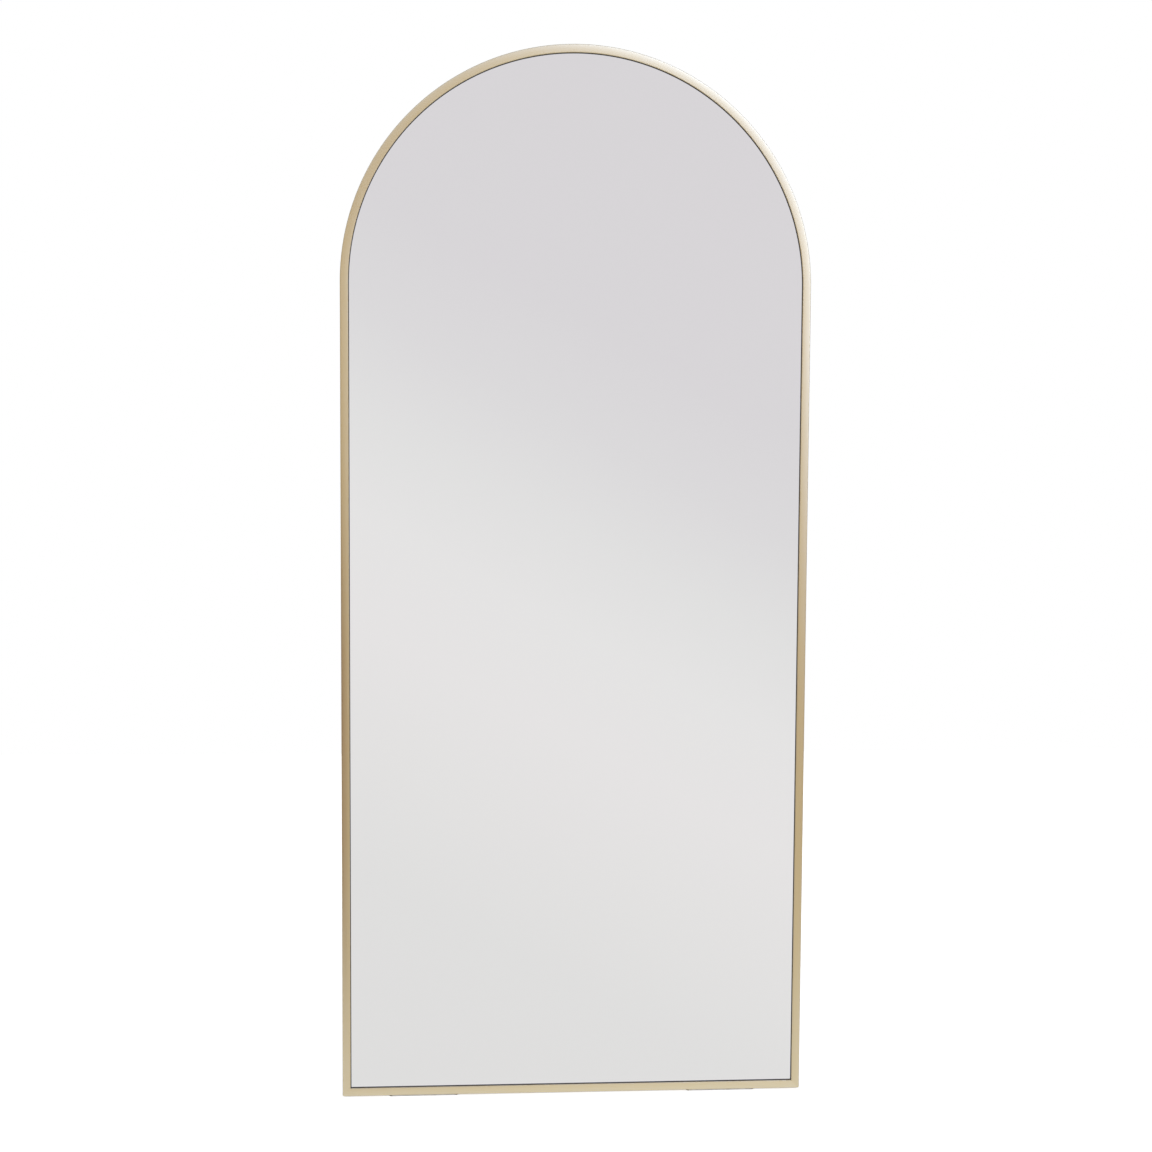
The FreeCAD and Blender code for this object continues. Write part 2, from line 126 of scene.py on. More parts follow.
class MirrorHangerSizes(bpy.types.PropertyGroup):
    inset: length("Inset", "Hangers, from the sides of the frame", 140 * MM)
    strap_width: length("Strap width", "Width of the folded strap", 18 * MM)
    strap_thickness: length("Strap thickness", "Thickness of one layer", 1.2 * MM)
    strap_blend: length("Shoulder", "Drop of the outer layer from the loop", 3.5 * MM)
    fold_gap: length("Fold gap", "Gap between the two layers", 0.14 * MM)
    bore_radius: length("Bore", "Inner radius of the strap's loop", 1.83 * MM)
    wire_radius: length("Wire radius", "Radius of the ring's wire", 1.75 * MM)
    half_width: length("Ring half width", "Middle of the ring to the middle of its side", 14 * MM)
    corner: length("Ring corner", "Radius of the ring's two corners", 4 * MM)
    drop: length("Ring drop", "Bar to the lowest point of the ring's wire", 26 * MM)
    screw_drop: length("Screw drop", "Ring's bar to the upper screw", 14 * MM)
    screw_pitch: length("Screw pitch", "Upper screw to lower screw", 18 * MM)
    head_radius: length("Head radius", "Radius of a countersunk head", 3.8 * MM)
    shank_radius: length("Shank radius", "Radius of a hanger screw's thread", 1.9 * MM)
    shank_length: length("Screw length", "Length of a hanger screw", 12.4 * MM)


class MirrorRubberSizes(bpy.types.PropertyGroup):
    bumper_radius: length("Bumper radius", "Radius of a bumper at the board", 10 * MM)
    bumper_taper: length("Bumper taper", "How much narrower its end is", 1.5 * MM)
    bumper_dish: length("Bumper dish", "Depth of the dish in its end", 0.35 * MM)
    edge: length("Edge", "Radius of the moulded edges", 1.5 * MM)
    bumper_inset: length("Bumper inset", "Bumpers, from the sides of the frame", 42 * MM)
    bumper_rise: length("Bumper rise", "Low bumpers, from the bottom of the frame", 60 * MM)
    pad_length: length("Pad length", "Length of the top pad along its middle", 160 * MM)
    pad_width: length("Pad width", "Width of the top pad", 10 * MM)
    pad_inset: length("Pad inset", "Top pad, from the outside of the frame", 11 * MM)
    channel: length("Channel", "Depth of the channel along the top pad", 0.6 * MM)
    foot_groove: length("Foot groove", "Depth of the grooves under a foot pad", 0.7 * MM)
    foot_corner: length("Foot corner", "Radius of a foot pad's four corners", 5 * MM)


class MirrorColours(bpy.types.PropertyGroup):
    metal: tint("Metal", "Champagne gold of the rails", (0.617, 0.474, 0.246))
    metal_pale: tint("Metal streak", "Paler brushing of the rails", (0.687, 0.539, 0.303))
    silver: tint("Silvering", "Tint of the mirror", (0.790, 0.775, 0.780))
    gasket: tint("Gasket", "Rubber between metal and glass", (0.028, 0.025, 0.022))
    rubber: tint("Wall rubber", "Rubber of bumpers and top pad", (0.030, 0.030, 0.031))
    foot: tint("Foot pads", "Pale rubber under the bottom rail", (0.52, 0.50, 0.46))
    steel: tint("Steel", "Zinc plated steel", (0.60, 0.61, 0.62))
    board: tint("Board", "Hardboard of the back", (0.235, 0.135, 0.070))
    wood: tint("Wood", "Pine of the battens", (0.62, 0.42, 0.23))
    card: tint("Card", "Kraft card of the packing panels", (0.40, 0.27, 0.15))


class MirrorReflections(bpy.types.PropertyGroup):
    left_wall: light("Left wall", "Brown wall on the left", (0.20, 0.075, 0.015))
    right_wall: light("Right wall", "Pale wall on the right", (0.55, 0.46, 0.36))
    low_light: light("Low light", "Light that comes up from the floor", (1.172, 1.373, 1.893))
    high_light: light("High light", "Light from the ceiling", (1.101, 1.325, 2.139))
    window: light("Window", "Cool soft window on the upper right", (1.24, 1.85, 4.0))
    edge_dark: light("Edge", "Darker room beside the mirror, seen in its edges", (0.36, 0.38, 0.42))
    behind: light("Behind", "Room behind the mirror", (0.74, 0.75, 0.77))


class MirrorStageSettings(bpy.types.PropertyGroup):
    camera_place: bpy.props.FloatVectorProperty(
        name="Camera", description="Place of the camera", subtype="TRANSLATION", unit="LENGTH", size=3,
        default=(-0.1871, -2.8248, 1.0964))
    camera_turn: bpy.props.FloatVectorProperty(
        name="Camera turn", description="Turn of the camera", subtype="EULER", size=3,
        default=(math.radians(86.156), math.radians(-0.3428), math.radians(-3.7909)))
    lens: number("Lens", "Focal length on a 36 mm wide sensor, in mm", 51.4616, "CAMERA")
    room_light: number("Room light", "Strength of the even light all round", 0.62)
    key_power: number("Key light", "Power of the soft light on the upper right", 42.0, "POWER")
    fill_power: number("Fill light", "Power of the soft light on the left", 16.0, "POWER")
    back_power: number("Back light", "Power of the soft light behind the mirror", 26.0, "POWER")
    floor_width: length("Floor width", "Width of the floor", 5.0)
    floor_front: length("Floor front", "Reach of the floor in front of the mirror", 0.6)
    floor_back: length("Floor back", "Reach of the floor behind the mirror", 3.4)


# ---------------------------------------------------------------- mesh tools
def at(x, depth, z):
    """A point given by its distance behind the front face of the frame."""
    return Vector((x, front_y + depth, z))


def settings():
    return bpy.context.scene


def mesh_object(name, points, faces, uvs=None, wear=None, sharp=SHARP):
    """A smooth shaded object, sharp where its faces meet at more than an angle."""
    mesh = bpy.data.meshes.new(name)
    mesh.from_pydata([tuple(point) for point in points], [], faces)
    if uvs is not None:
        layer = mesh.uv_layers.new(name="along_rail")
        for loop in mesh.loops:
            layer.data[loop.index].uv = uvs[loop.vertex_index]
    if wear is not None:
        layer = mesh.attributes.new(name="edge_wear", type="FLOAT", domain="POINT")
        for index, value in enumerate(wear):
            layer.data[index].value = value
    mesh.validate()
    mesh.shade_smooth()
    mesh.set_sharp_from_angle(angle=sharp)
    piece = bpy.data.objects.new(name, mesh)
    bpy.context.scene.collection.objects.link(piece)
    return piece


def rounded_corners(corners, steps=5):
    """Points along a closed outline of (a, b, radius) corners."""
    points = []
    count = len(corners)
    for index, (a, b, radius) in enumerate(corners):
        here = Vector((a, b))
        if radius == 0:
            points.append(here)
            continue
        before = (Vector(corners[index - 1][:2]) - here).normalized()
        after = (Vector(corners[(index + 1) % count][:2]) - here).normalized()
        half_angle = before.angle(after) / 2
        trim = radius / math.tan(half_angle)
        start = here + before * trim
        end = here + after * trim
        centre = here + (before + after).normalized() * (radius / math.sin(half_angle))
        from_angle = math.atan2(start.y - centre.y, start.x - centre.x)
        sweep = math.atan2(end.y - centre.y, end.x - centre.x) - from_angle
        sweep = (sweep + math.pi) % (2 * math.pi) - math.pi
        for step in range(steps + 1):
            angle = from_angle + sweep * step / steps
            points.append(centre + Vector((math.cos(angle), math.sin(angle))) * radius)
    return points


def bridge(size, count, closed_path=False):
    """Quads between closed rows of as many points each, numbered row after row."""
    faces = []
    for row in range(count if closed_path else count - 1):
        following = (row + 1) % count
        for index in range(size):
            beside = (index + 1) % size
            faces.append((
                row * size + index, row * size + beside,
                following * size + beside, following * size + index,
            ))
    return faces


def closed_rows(size, count):
    """The same quads, with the first and the last row closed by a face."""
    last = range((count - 1) * size, count * size)
    return bridge(size, count) + [tuple(range(size)), tuple(reversed(last))]


def add_caps(piece, rings):
    """Closes each end of a hollow section between its outer and its inner outline."""
    shape = bmesh.new()
    shape.from_mesh(piece.data)
    shape.verts.ensure_lookup_table()
    for outlines in rings:
        edges = []
        for outline in outlines:
            for index, corner in enumerate(outline):
                pair = (shape.verts[corner], shape.verts[outline[(index + 1) % len(outline)]])
                edges.append(shape.edges.get(pair) or shape.edges.new(pair))
        bmesh.ops.triangle_fill(shape, use_beauty=True, edges=edges)
    bmesh.ops.recalc_face_normals(shape, faces=shape.faces)
    shape.to_mesh(piece.data)
    shape.free()
    piece.data.shade_smooth()
    piece.data.set_sharp_from_angle(angle=SHARP)


def lathe(stations, sides):
    """Points and faces of a round body along Y, through (radius, y) stations, closed at both ends."""
    points = []
    for radius, y in stations:
        for side in range(sides):
            angle = 2 * math.pi * side / sides
            points.append(Vector((radius * math.cos(angle), y, radius * math.sin(angle))))
    return points, closed_rows(sides, len(stations))


def outward(piece):
    """Turns every face of a closed piece outwards."""
    shape = bmesh.new()
    shape.from_mesh(piece.data)
    bmesh.ops.recalc_face_normals(shape, faces=shape.faces)
    shape.to_mesh(piece.data)
    shape.free()
    return piece


def carved(piece, cutters):
    """The mesh of a piece with cutters taken out of it."""
    for cutter in cutters:
        cut = piece.modifiers.new("cut", "BOOLEAN")
        cut.operation = "DIFFERENCE"
        cut.solver = "EXACT"
        cut.object = cutter
    bpy.context.view_layer.update()
    graph = bpy.context.evaluated_depsgraph_get()
    mesh = bpy.data.meshes.new_from_object(piece.evaluated_get(graph))
    for unwanted in [piece, *cutters]:
        bpy.data.objects.remove(unwanted)
    return mesh


def placed_copies(name, mesh, placements):
    """One object of many copies of a mesh, each under its own matrix."""
    points = []
    faces = []
    for placement in placements:
        start = len(points)
        points += [placement @ corner.co for corner in mesh.vertices]
        faces += [tuple(start + corner for corner in face.vertices) for face in mesh.polygons]
    return mesh_object(name, points, faces, sharp=math.radians(30))


# ---------------------------------------------------------------- the arch's path
def arch_centre_z():
    sizes = settings().mirror_rail
    return sizes.top - sizes.width / 2


def path_point(station, inset, depth):
    """A point of the arched path at an inward distance from the outside of the frame.

    A station is ("stile", side, height), ("arch", angle), ("mitre", side) or
    ("corner", side, share of the turn).
    """
    sizes = settings().mirror_rail
    half = sizes.width / 2
    kind = station[0]
    if kind == "arch":
        reach = half - inset
        angle = station[1]
        return at(-reach * math.cos(angle), depth, arch_centre_z() + reach * math.sin(angle))
    side = station[1]
    if kind == "stile":
        return at(side * (half - inset), depth, station[2])
    if kind == "mitre":
        return at(side * (half - inset), depth, sizes.bottom + inset)
    radius = sizes.corner_radius
    turn = station[2] * math.pi / 4
    if inset < radius:
        reach = radius - inset
        x = half - radius + reach * math.cos(turn)
        return at(side * x, depth, sizes.bottom + radius - reach * math.sin(turn))
    lift = radius * (1 - station[2])
    return at(side * (half - inset), depth, sizes.bottom + inset + lift)


def corner_stations(side):
    """Stations round a ground bottom corner, in the order of a rail that runs from left to right."""
    turns = [("corner", side, step / CORNER_STEPS) for step in range(CORNER_STEPS + 1)]
    return turns if side > 0 else turns[::-1]


def arch_stations():
    steps = settings().mirror_rail.arch_steps
    return [("arch", math.pi * step / steps) for step in range(steps + 1)]


def arched_stations():
    """Stations from the foot of the left stile, over the arch, to the foot of the right one."""
    sizes = settings().mirror_rail
    centre = arch_centre_z()
    low = sizes.bottom + 2 * sizes.face
    steps = 12
    left = [("stile", -1, low + (centre - low) * step / steps) for step in range(steps)]
    right = [("stile", 1, centre - (centre - low) * step / steps) for step in range(1, steps + 1)]
    return left + arch_stations() + right


def flipped(point):
    """The bottom rail's point for a stile's one: the same corner seen along the other leg of the mitre."""
    sizes = settings().mirror_rail
    half = sizes.width / 2
    side = 1 if point.x > 0 else -1
    inward = half - abs(point.x)
    rise = point.z - sizes.bottom
    return Vector((side * (half - rise), point.y, sizes.bottom + inward))


# ---------------------------------------------------------------- the metal section
def crown_drop(inset):
    """How far the slightly crowned face lies behind its highest line."""
    sizes = settings().mirror_rail
    return sizes.crown * ((inset - sizes.crown_line) / (sizes.face / 2)) ** 2


def section_outline():
    """The outline of the metal, as (inset, depth) points from its outer front edge."""
    sizes = settings().mirror_rail
    gasket = settings().mirror_gasket
    soft = 0.22 * MM
    groove_play = 0.1 * MM
    face_start = 2.2 * MM
    face_end = 1 * MM
    rim = 2.5 * MM
    face_steps = 10
    root_middle = (sizes.box_width + sizes.face) / 2
    groove_reach = gasket.root / 2 + groove_play
    groove_floor = sizes.lip - gasket.root - groove_play
    front = sizes.face - sizes.lip_chamfer
    corners = [(0, crown_drop(0), sizes.outer_radius)]
    for step in range(face_steps + 1):
        inset = face_start + (front - face_start - face_end) * step / face_steps
        corners.append((inset, crown_drop(inset), 0))
    corners += [
        (front, crown_drop(front), soft),
        (sizes.face, sizes.lip_chamfer + crown_drop(sizes.face), soft),
        (sizes.face, sizes.lip, soft),
        (root_middle + groove_reach, sizes.lip, 0),
        (root_middle + groove_reach, groove_floor, 0),
        (root_middle - groove_reach, groove_floor, 0),
        (root_middle - groove_reach, sizes.lip, 0),
        (sizes.box_width, sizes.lip, 0),
        (sizes.box_width, sizes.board_front, 0),
        (sizes.wall, sizes.board_front, 0),
        (sizes.wall, sizes.depth, soft),
        (0, sizes.depth, soft),
        (0, sizes.depth - rim, 0),
    ]
    return rounded_corners(corners)


def chamber_outline():
    sizes = settings().mirror_rail
    far = sizes.box_width - sizes.wall
    back = sizes.board_front - sizes.wall
    return [Vector(corner) for corner in (
        (sizes.wall, sizes.wall), (far, sizes.wall), (far, back), (sizes.wall, back))]


def section_wear(outline):
    """How exposed each point of the outline is: the two front edges and the rear rim."""
    sizes = settings().mirror_rail
    outer = 0.4 * MM
    inner = 0.3 * MM
    reach = 0.7 * MM
    spots = [Vector((outer, outer)), Vector((sizes.face, inner)), Vector((0, sizes.depth))]
    return [max(math.exp(-((point - spot).length / reach) ** 2) for spot in spots) for point in outline]


def outline_lengths(outline):
    """How far each point lies along the outline."""
    lengths = [0.0]
    for before, after in zip(outline, outline[1:]):
        lengths.append(lengths[-1] + (after - before).length)
    return lengths


def swept_rail(name, stations, place):
    """A hollow rail through stations, mitred at both ends."""
    outline = section_outline()
    hollow = chamber_outline()
    wear = section_wear(outline)
    across = outline_lengths(outline)
    points = []
    uvs = []
    worn = []
    travelled = 0.0
    previous = None
    for station in stations:
        row = [place(station, point.x, point.y) for point in outline]
        middle = place(station, settings().mirror_rail.face / 2, 0)
        if previous is not None:
            travelled += (middle - previous).length
        previous = middle
        points += row
        uvs += [(travelled, gone) for gone in across]
        worn += wear
    size = len(outline)
    count = len(stations)
    faces = bridge(size, count)
    start = len(points)
    for station in stations:
        points += [place(station, point.x, point.y) for point in hollow]
        uvs += [(0.0, 0.0)] * len(hollow)
        worn += [0.0] * len(hollow)
    faces += [tuple(start + corner for corner in face) for face in bridge(len(hollow), count)]
    piece = mesh_object(name, points, faces, uvs, worn)
    first = [list(range(size)), list(range(start, start + len(hollow)))]
    last_outer = (count - 1) * size
    last_inner = start + (count - 1) * len(hollow)
    last = [list(range(last_outer, last_outer + size)), list(range(last_inner, last_inner + len(hollow)))]
    add_caps(piece, [first, last])
    return piece


# ---------------------------------------------------------------- shader tools
class Board:
    """A node tree with short calls for adding and joining nodes."""

    def __init__(self, tree):
        self.tree = tree
        self.tree.nodes.clear()

    def add(self, kind, values=None, **options):
        node = self.tree.nodes.new(kind)
        for key, value in options.items():
            setattr(node, key, value)
        for key, value in (values or {}).items():
            self.feed(node.inputs[key], value)
        return node

    def feed(self, socket, value):
        if isinstance(value, bpy.types.NodeSocket):
            self.tree.links.new(value, socket)
        else:
            socket.default_value = value

    def math(self, operation, first, second=0.0, third=0.0):
        return self.add("ShaderNodeMath", {0: first, 1: second, 2: third}, operation=operation).outputs[0]

    def times(self, first, second):
        return self.math("MULTIPLY", first, second)

    def scaled(self, vector, factors):
        return self.add("ShaderNodeVectorMath", {0: vector, 1: factors}, operation="MULTIPLY").outputs[0]

    def ranged(self, value, low, high, new_low=0.0, new_high=1.0, smooth=False):
        values = {"Value": value, "From Min": low, "From Max": high, "To Min": new_low, "To Max": new_high}
        kind = "SMOOTHSTEP" if smooth else "LINEAR"
        return self.add("ShaderNodeMapRange", values, interpolation_type=kind).outputs[0]

    def mix(self, factor, first, second, blend="MIX"):
        node = self.add("ShaderNodeMix", {0: factor, 6: first, 7: second}, data_type="RGBA", blend_type=blend)
        return node.outputs[2]

    def noise(self, vector, scale, detail, roughness):
        values = {"Vector": vector, "Scale": scale, "Detail": detail, "Roughness": roughness}
        return self.add("ShaderNodeTexNoise", values).outputs["Fac"]

    def stretched(self, vector, scale):
        return self.add("ShaderNodeMapping", {"Vector": vector, "Scale": scale}).outputs[0]


def colour(value):
    return (*value, 1.0)


def new_group(name, inputs, outputs):
    """An empty node group with named sockets, and what comes into it and goes out of it."""
    group = bpy.data.node_groups.new(name, "ShaderNodeTree")
    for title, kind, default in inputs:
        socket = group.interface.new_socket(title, in_out="INPUT", socket_type=f"NodeSocket{kind}")
        if default is not None:
            socket.default_value = default
    for title, kind in outputs:
        group.interface.new_socket(title, in_out="OUTPUT", socket_type=f"NodeSocket{kind}")
    board = Board(group)
    return board, board.add("NodeGroupInput").outputs, board.add("NodeGroupOutput").inputs


def brushed_group():
    """Fine lines along a rail: U runs along it and V across it, both in metres."""
    board, given, result = new_group(
        "Brushed lines",
        [("Vector", "Vector", None), ("Lines per metre", "Float", 900.0),
         ("Lines along", "Float", 4.0), ("Strength", "Float", 1.0)],
        [("Lines", "Float"), ("Broad", "Float")])
    scale = board.add("ShaderNodeCombineXYZ", {
        "X": given["Lines along"], "Y": given["Lines per metre"], "Z": 1.0}).outputs[0]
    narrow = board.scaled(given["Vector"], scale)
    wide = board.scaled(narrow, (0.35, 0.16, 1.0))
    centred = board.math("SUBTRACT", board.noise(narrow, 1.0, 5.0, 0.65), 0.5)
    board.feed(result["Lines"], board.math("MULTIPLY_ADD", centred, given["Strength"], 0.5))
    board.feed(result["Broad"], board.noise(wide, 1.0, 3.0, 0.55))
    return board.tree


def wear_group():
    """A broken mask along exposed edges, from how exposed a point is."""
    board, given, result = new_group(
        "Edge wear",
        [("Exposure", "Float", 0.0), ("Vector", "Vector", None),
         ("Scale", "Float", 300.0), ("Amount", "Float", 0.5)],
        [("Mask", "Float")])
    raised = board.times(board.noise(given["Vector"], given["Scale"], 4.0, 0.6), given["Exposure"])
    threshold = board.math("SUBTRACT", 0.75, board.times(given["Amount"], 0.5))
    board.feed(result["Mask"], board.ranged(raised, threshold, board.math("ADD", threshold, 0.15)))
    return board.tree


def dust_group():
    """Thin dust, thicker on faces that look upwards."""
    board, given, result = new_group(
        "Dust",
        [("Vector", "Vector", None), ("Scale", "Float", 60.0), ("Amount", "Float", 0.2)],
        [("Mask", "Float")])
    clumps = board.ranged(board.noise(given["Vector"], given["Scale"], 6.0, 0.7), 0.45, 0.75)
    normal = board.add("ShaderNodeNewGeometry").outputs["Normal"]
    up = board.add("ShaderNodeSeparateXYZ", {"Vector": normal}).outputs["Z"]
    facing = board.ranged(up, -0.2, 1.0, 0.35, 1.0)
    board.feed(result["Mask"], board.times(board.times(clumps, facing), given["Amount"]))
    return board.tree


def mottle_group():
    """Soft tone changes with a fine grain on top."""
    board, given, result = new_group(
        "Mottle and grain",
        [("Vector", "Vector", None), ("Patch scale", "Float", 20.0), ("Grain scale", "Float", 800.0),
         ("Dark", "Color", (0.1, 0.1, 0.1, 1)), ("Light", "Color", (0.2, 0.2, 0.2, 1))],
        [("Color", "Color"), ("Grain", "Float")])
    patches = board.noise(given["Vector"], given["Patch scale"], 4.0, 0.55)
    grain = board.noise(given["Vector"], given["Grain scale"], 2.0, 0.6)
    both = board.math("ADD", board.times(patches, 0.65), board.times(grain, 0.35))
    board.feed(result["Color"], board.mix(board.ranged(both, 0.32, 0.68), given["Dark"], given["Light"]))
    board.feed(result["Grain"], grain)
    return board.tree


def placed_group(board, name, make, values):
    """The outputs of a shared node group, built once and placed with its own values."""
    node = board.add("ShaderNodeGroup")
    node.node_tree = bpy.data.node_groups.get(name) or make()
    for key, value in values.items():
        board.feed(node.inputs[key], value)
    return node.outputs


def mottled(board, place, patch_scale, grain_scale, dark, light):
    """A tone that wanders between dark and light, and its fine grain."""
    group = placed_group(board, "Mottle and grain", mottle_group, {
        "Vector": place, "Patch scale": patch_scale, "Grain scale": grain_scale,
        "Dark": dark, "Light": light})
    return group["Color"], group["Grain"]


def dust_mask(board, place, scale, amount):
    values = {"Vector": place, "Scale": scale, "Amount": amount}
    return placed_group(board, "Dust", dust_group, values)["Mask"]


def new_material(name, viewport):
    """A material with its nodes, its shader and the place of each point on the object."""
    material = bpy.data.materials.new(name)
    material.use_nodes = True
    material.diffuse_color = colour(viewport)
    board = Board(material.node_tree)
    shader = board.add("ShaderNodeBsdfPrincipled")
    output = board.add("ShaderNodeOutputMaterial")
    board.feed(output.inputs["Surface"], shader.outputs[0])
    place = board.add("ShaderNodeTexCoord").outputs["Object"]
    return material, board, shader, place


def surface(board, shader, tone, grain, roughness, relief, distance, strength):
    """Feeds a shader its tone, a roughness that follows a grain, and a relief."""
    board.feed(shader.inputs["Base Color"], tone)
    board.feed(shader.inputs["Roughness"], board.ranged(grain, 0.3, 0.7, *roughness))
    values = {"Height": relief, "Distance": distance, "Strength": strength}
    board.feed(shader.inputs["Normal"], board.add("ShaderNodeBump", values).outputs[0])


def shade(tone, factor):
    """A tone made darker or lighter."""
    return colour([min(1.0, part * factor) for part in tone])


# ---------------------------------------------------------------- finishes
def champagne_metal():
    """Brushed along the rail, with bared edges and a trace of dust."""
    tones = settings().mirror_colours
    material, board, shader, place = new_material("brushed_champagne", tones.metal)
    rail = board.add("ShaderNodeUVMap", uv_map="along_rail").outputs[0]
    brushed = placed_group(board, "Brushed lines", brushed_group, {
        "Vector": rail, "Lines per metre": 900.0, "Lines along": 6.0, "Strength": 1.0})
    lines = board.ranged(brushed["Lines"], 0.3, 0.7)
    broad = board.ranged(brushed["Broad"], 0.3, 0.7)
    tone = board.mix(board.times(lines, 0.4), colour(tones.metal), colour(tones.metal_pale))
    tone = board.mix(board.times(broad, 0.3), tone, colour(tones.metal_pale))
    exposure = board.add("ShaderNodeAttribute", attribute_name="edge_wear").outputs["Fac"]
    worn = placed_group(board, "Edge wear", wear_group, {
        "Exposure": exposure, "Vector": place, "Scale": 260.0, "Amount": 0.75})
    tone = board.mix(board.times(worn["Mask"], 0.6), tone, (0.80, 0.76, 0.68, 1))
    tone = board.mix(dust_mask(board, place, 70.0, 0.10), tone, (0.62, 0.60, 0.56, 1))
    surface(board, shader, tone, brushed["Lines"], (0.27, 0.33), brushed["Broad"], 0.00002, 0.2)
    shader.inputs["Metallic"].default_value = 1.0
    shader.inputs["Anisotropic"].default_value = 0.8
    shader.inputs["Anisotropic Rotation"].default_value = 0.25
    tangent = board.add("ShaderNodeTangent", direction_type="UV_MAP", uv_map="along_rail")
    board.feed(shader.inputs["Tangent"], tangent.outputs[0])
    return material


def silvered_glass():
    """A mirror, dulled a little where dust lies on it."""
    tones = settings().mirror_colours
    material, board, shader, place = new_material("silver_mirror", tones.silver)
    haze = board.ranged(board.noise(place, 3.0, 3.0, 0.5), 0.3, 0.7, 0.0, 0.35)
    tone = board.mix(haze, colour(tones.silver), (0.79, 0.785, 0.782, 1))
    dust = dust_mask(board, place, 240.0, 0.05)
    board.feed(shader.inputs["Base Color"], board.mix(dust, tone, (0.9, 0.9, 0.9, 1)))
    board.feed(shader.inputs["Metallic"], board.ranged(dust, 0.0, 1.0, 1.0, 0.5))
    shader.inputs["Roughness"].default_value = 0.0
    return material


def soft_rubber(name, dark):
    """Matt moulded rubber with a fine tooth and a little dust."""
    material, board, shader, place = new_material(name, dark)
    pale = [min(1.0, part * 1.7 + 0.004) for part in dark]
    tone, grain = mottled(board, place, 90.0, 2600.0, colour(dark), colour(pale))
    tone = board.mix(dust_mask(board, place, 400.0, 0.22), tone, (0.45, 0.44, 0.42, 1))
    surface(board, shader, tone, grain, (0.62, 0.82), grain, 0.00006, 0.6)
    return material


def hard_board():
    """Brown board with pale and dark fibres pressed into it."""
    base = settings().mirror_colours.board
    material, board, shader, place = new_material("brown_board", base)
    tone, _ = mottled(board, place, 60.0, 900.0, shade(base, 0.84), shade(base, 1.16))
    fibres = board.noise(board.stretched(place, (1.0, 1.0, 0.22)), 420.0, 6.0, 0.7)
    flecks = board.times(board.ranged(fibres, 0.6, 0.72), 0.45)
    tone = board.mix(flecks, tone, shade(base, 2.1))
    sunk = board.times(board.ranged(fibres, 0.38, 0.28), 0.5)
    tone = board.mix(sunk, tone, shade(base, 0.45))
    tone = board.mix(dust_mask(board, place, 45.0, 0.12), tone, (0.5, 0.46, 0.41, 1))
    surface(board, shader, tone, fibres, (0.48, 0.66), fibres, 0.00012, 0.5)
    return material


def plated_steel():
    """Zinc plating with a little yellow tarnish, made once for all the fittings."""
    found = bpy.data.materials.get("zinc_steel")
    if found:
        return found
    base = settings().mirror_colours.steel
    material, board, shader, place = new_material("zinc_steel", base)
    tone, grain = mottled(board, place, 240.0, 3200.0, shade(base, 0.72), shade(base, 1.25))
    tarnish = board.ranged(board.noise(place, 120.0, 3.0, 0.6), 0.5, 0.75, 0.0, 0.35)
    tone = board.mix(tarnish, tone, (0.55, 0.50, 0.40, 1))
    surface(board, shader, tone, grain, (0.26, 0.46), grain, 0.00003, 0.4)
    shader.inputs["Metallic"].default_value = 1.0
    return material


def plain_batten_wood():
    """Planed pine with its rings and pores along the batten."""
    base = settings().mirror_colours.wood
    material, board, shader, place = new_material("pine", base)
    rings = board.noise(board.stretched(place, (1.2, 30.0, 30.0)), 3.0, 4.0, 0.55)
    pores = board.noise(board.stretched(place, (6.0, 260.0, 260.0)), 4.0, 3.0, 0.6)
    tone = board.mix(board.ranged(rings, 0.35, 0.65), shade(base, 0.62), colour(base))
    tone = board.mix(board.ranged(pores, 0.62, 0.7, 0.0, 0.4), tone, shade(base, 0.4))
    surface(board, shader, tone, pores, (0.6, 0.78), pores, 0.0001, 0.5)
    return material


def packing_card():
    """Kraft card with the cells of its honeycomb showing through."""
    base = settings().mirror_colours.card
    material, board, shader, place = new_material("kraft_card", base)
    tone, grain = mottled(board, place, 60.0, 1500.0, shade(base, 0.8), shade(base, 1.2))
    cells = board.add("ShaderNodeTexVoronoi", {"Vector": place, "Scale": 85.0}, feature="DISTANCE_TO_EDGE")
    walls = board.ranged(cells.outputs["Distance"], 0.0, 0.08)
    surface(board, shader, tone, grain, (0.75, 0.9), walls, 0.0003, 0.3)
    return material


def moulded(name, base, roughness, grain_scale, depth, metallic=0.0):
    """A plain moulded, foamed or cast surface with its own grain."""
    material, board, shader, place = new_material(name, base)
    tone, grain = mottled(board, place, 30.0, grain_scale, shade(base, 0.85), shade(base, 1.1))
    surface(board, shader, tone, grain, roughness, grain, depth, 0.5)
    shader.inputs["Metallic"].default_value = metallic
    return material


def dress_node(name, material):
    """Puts a finish on a solid that stays as it is."""
    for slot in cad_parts[name].material_slots:
        slot.material = material


def settle(piece, material, node, body="mirror_frame"):
    """Gives a piece its finish in a new slot, puts it under its body and hides the solid it stands for."""
    piece.data.materials.append(material)
    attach(piece, body)
    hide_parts(node)


# ---------------------------------------------------------------- operators
class MIRROR_OT_rails(bpy.types.Operator):
    """Sweep the metal section over the arch and along the bottom"""
    bl_idname = "mirror.rails"
    bl_label = "Metal rails"

    def execute(self, context):
        sizes = context.scene.mirror_rail
        metal = champagne_metal()
        stations = corner_stations(-1) + arched_stations() + corner_stations(1)
        arched = swept_rail("arched_rail_metal", stations, path_point)
        settle(arched, metal, "arched_rail")
        reach = sizes.width / 2 - 2 * sizes.face
        steps = 8
        run = [("run", -reach + 2 * reach * step / steps) for step in range(steps + 1)]

        def place(station, inset, depth):
            if station[0] == "run":
                return at(station[1], depth, sizes.bottom + inset)
            return flipped(path_point(station, inset, depth))

        bottom = swept_rail("bottom_rail_metal", corner_stations(-1) + run + corner_stations(1), place)
        settle(bottom, metal, "bottom_rail")
        return {"FINISHED"}


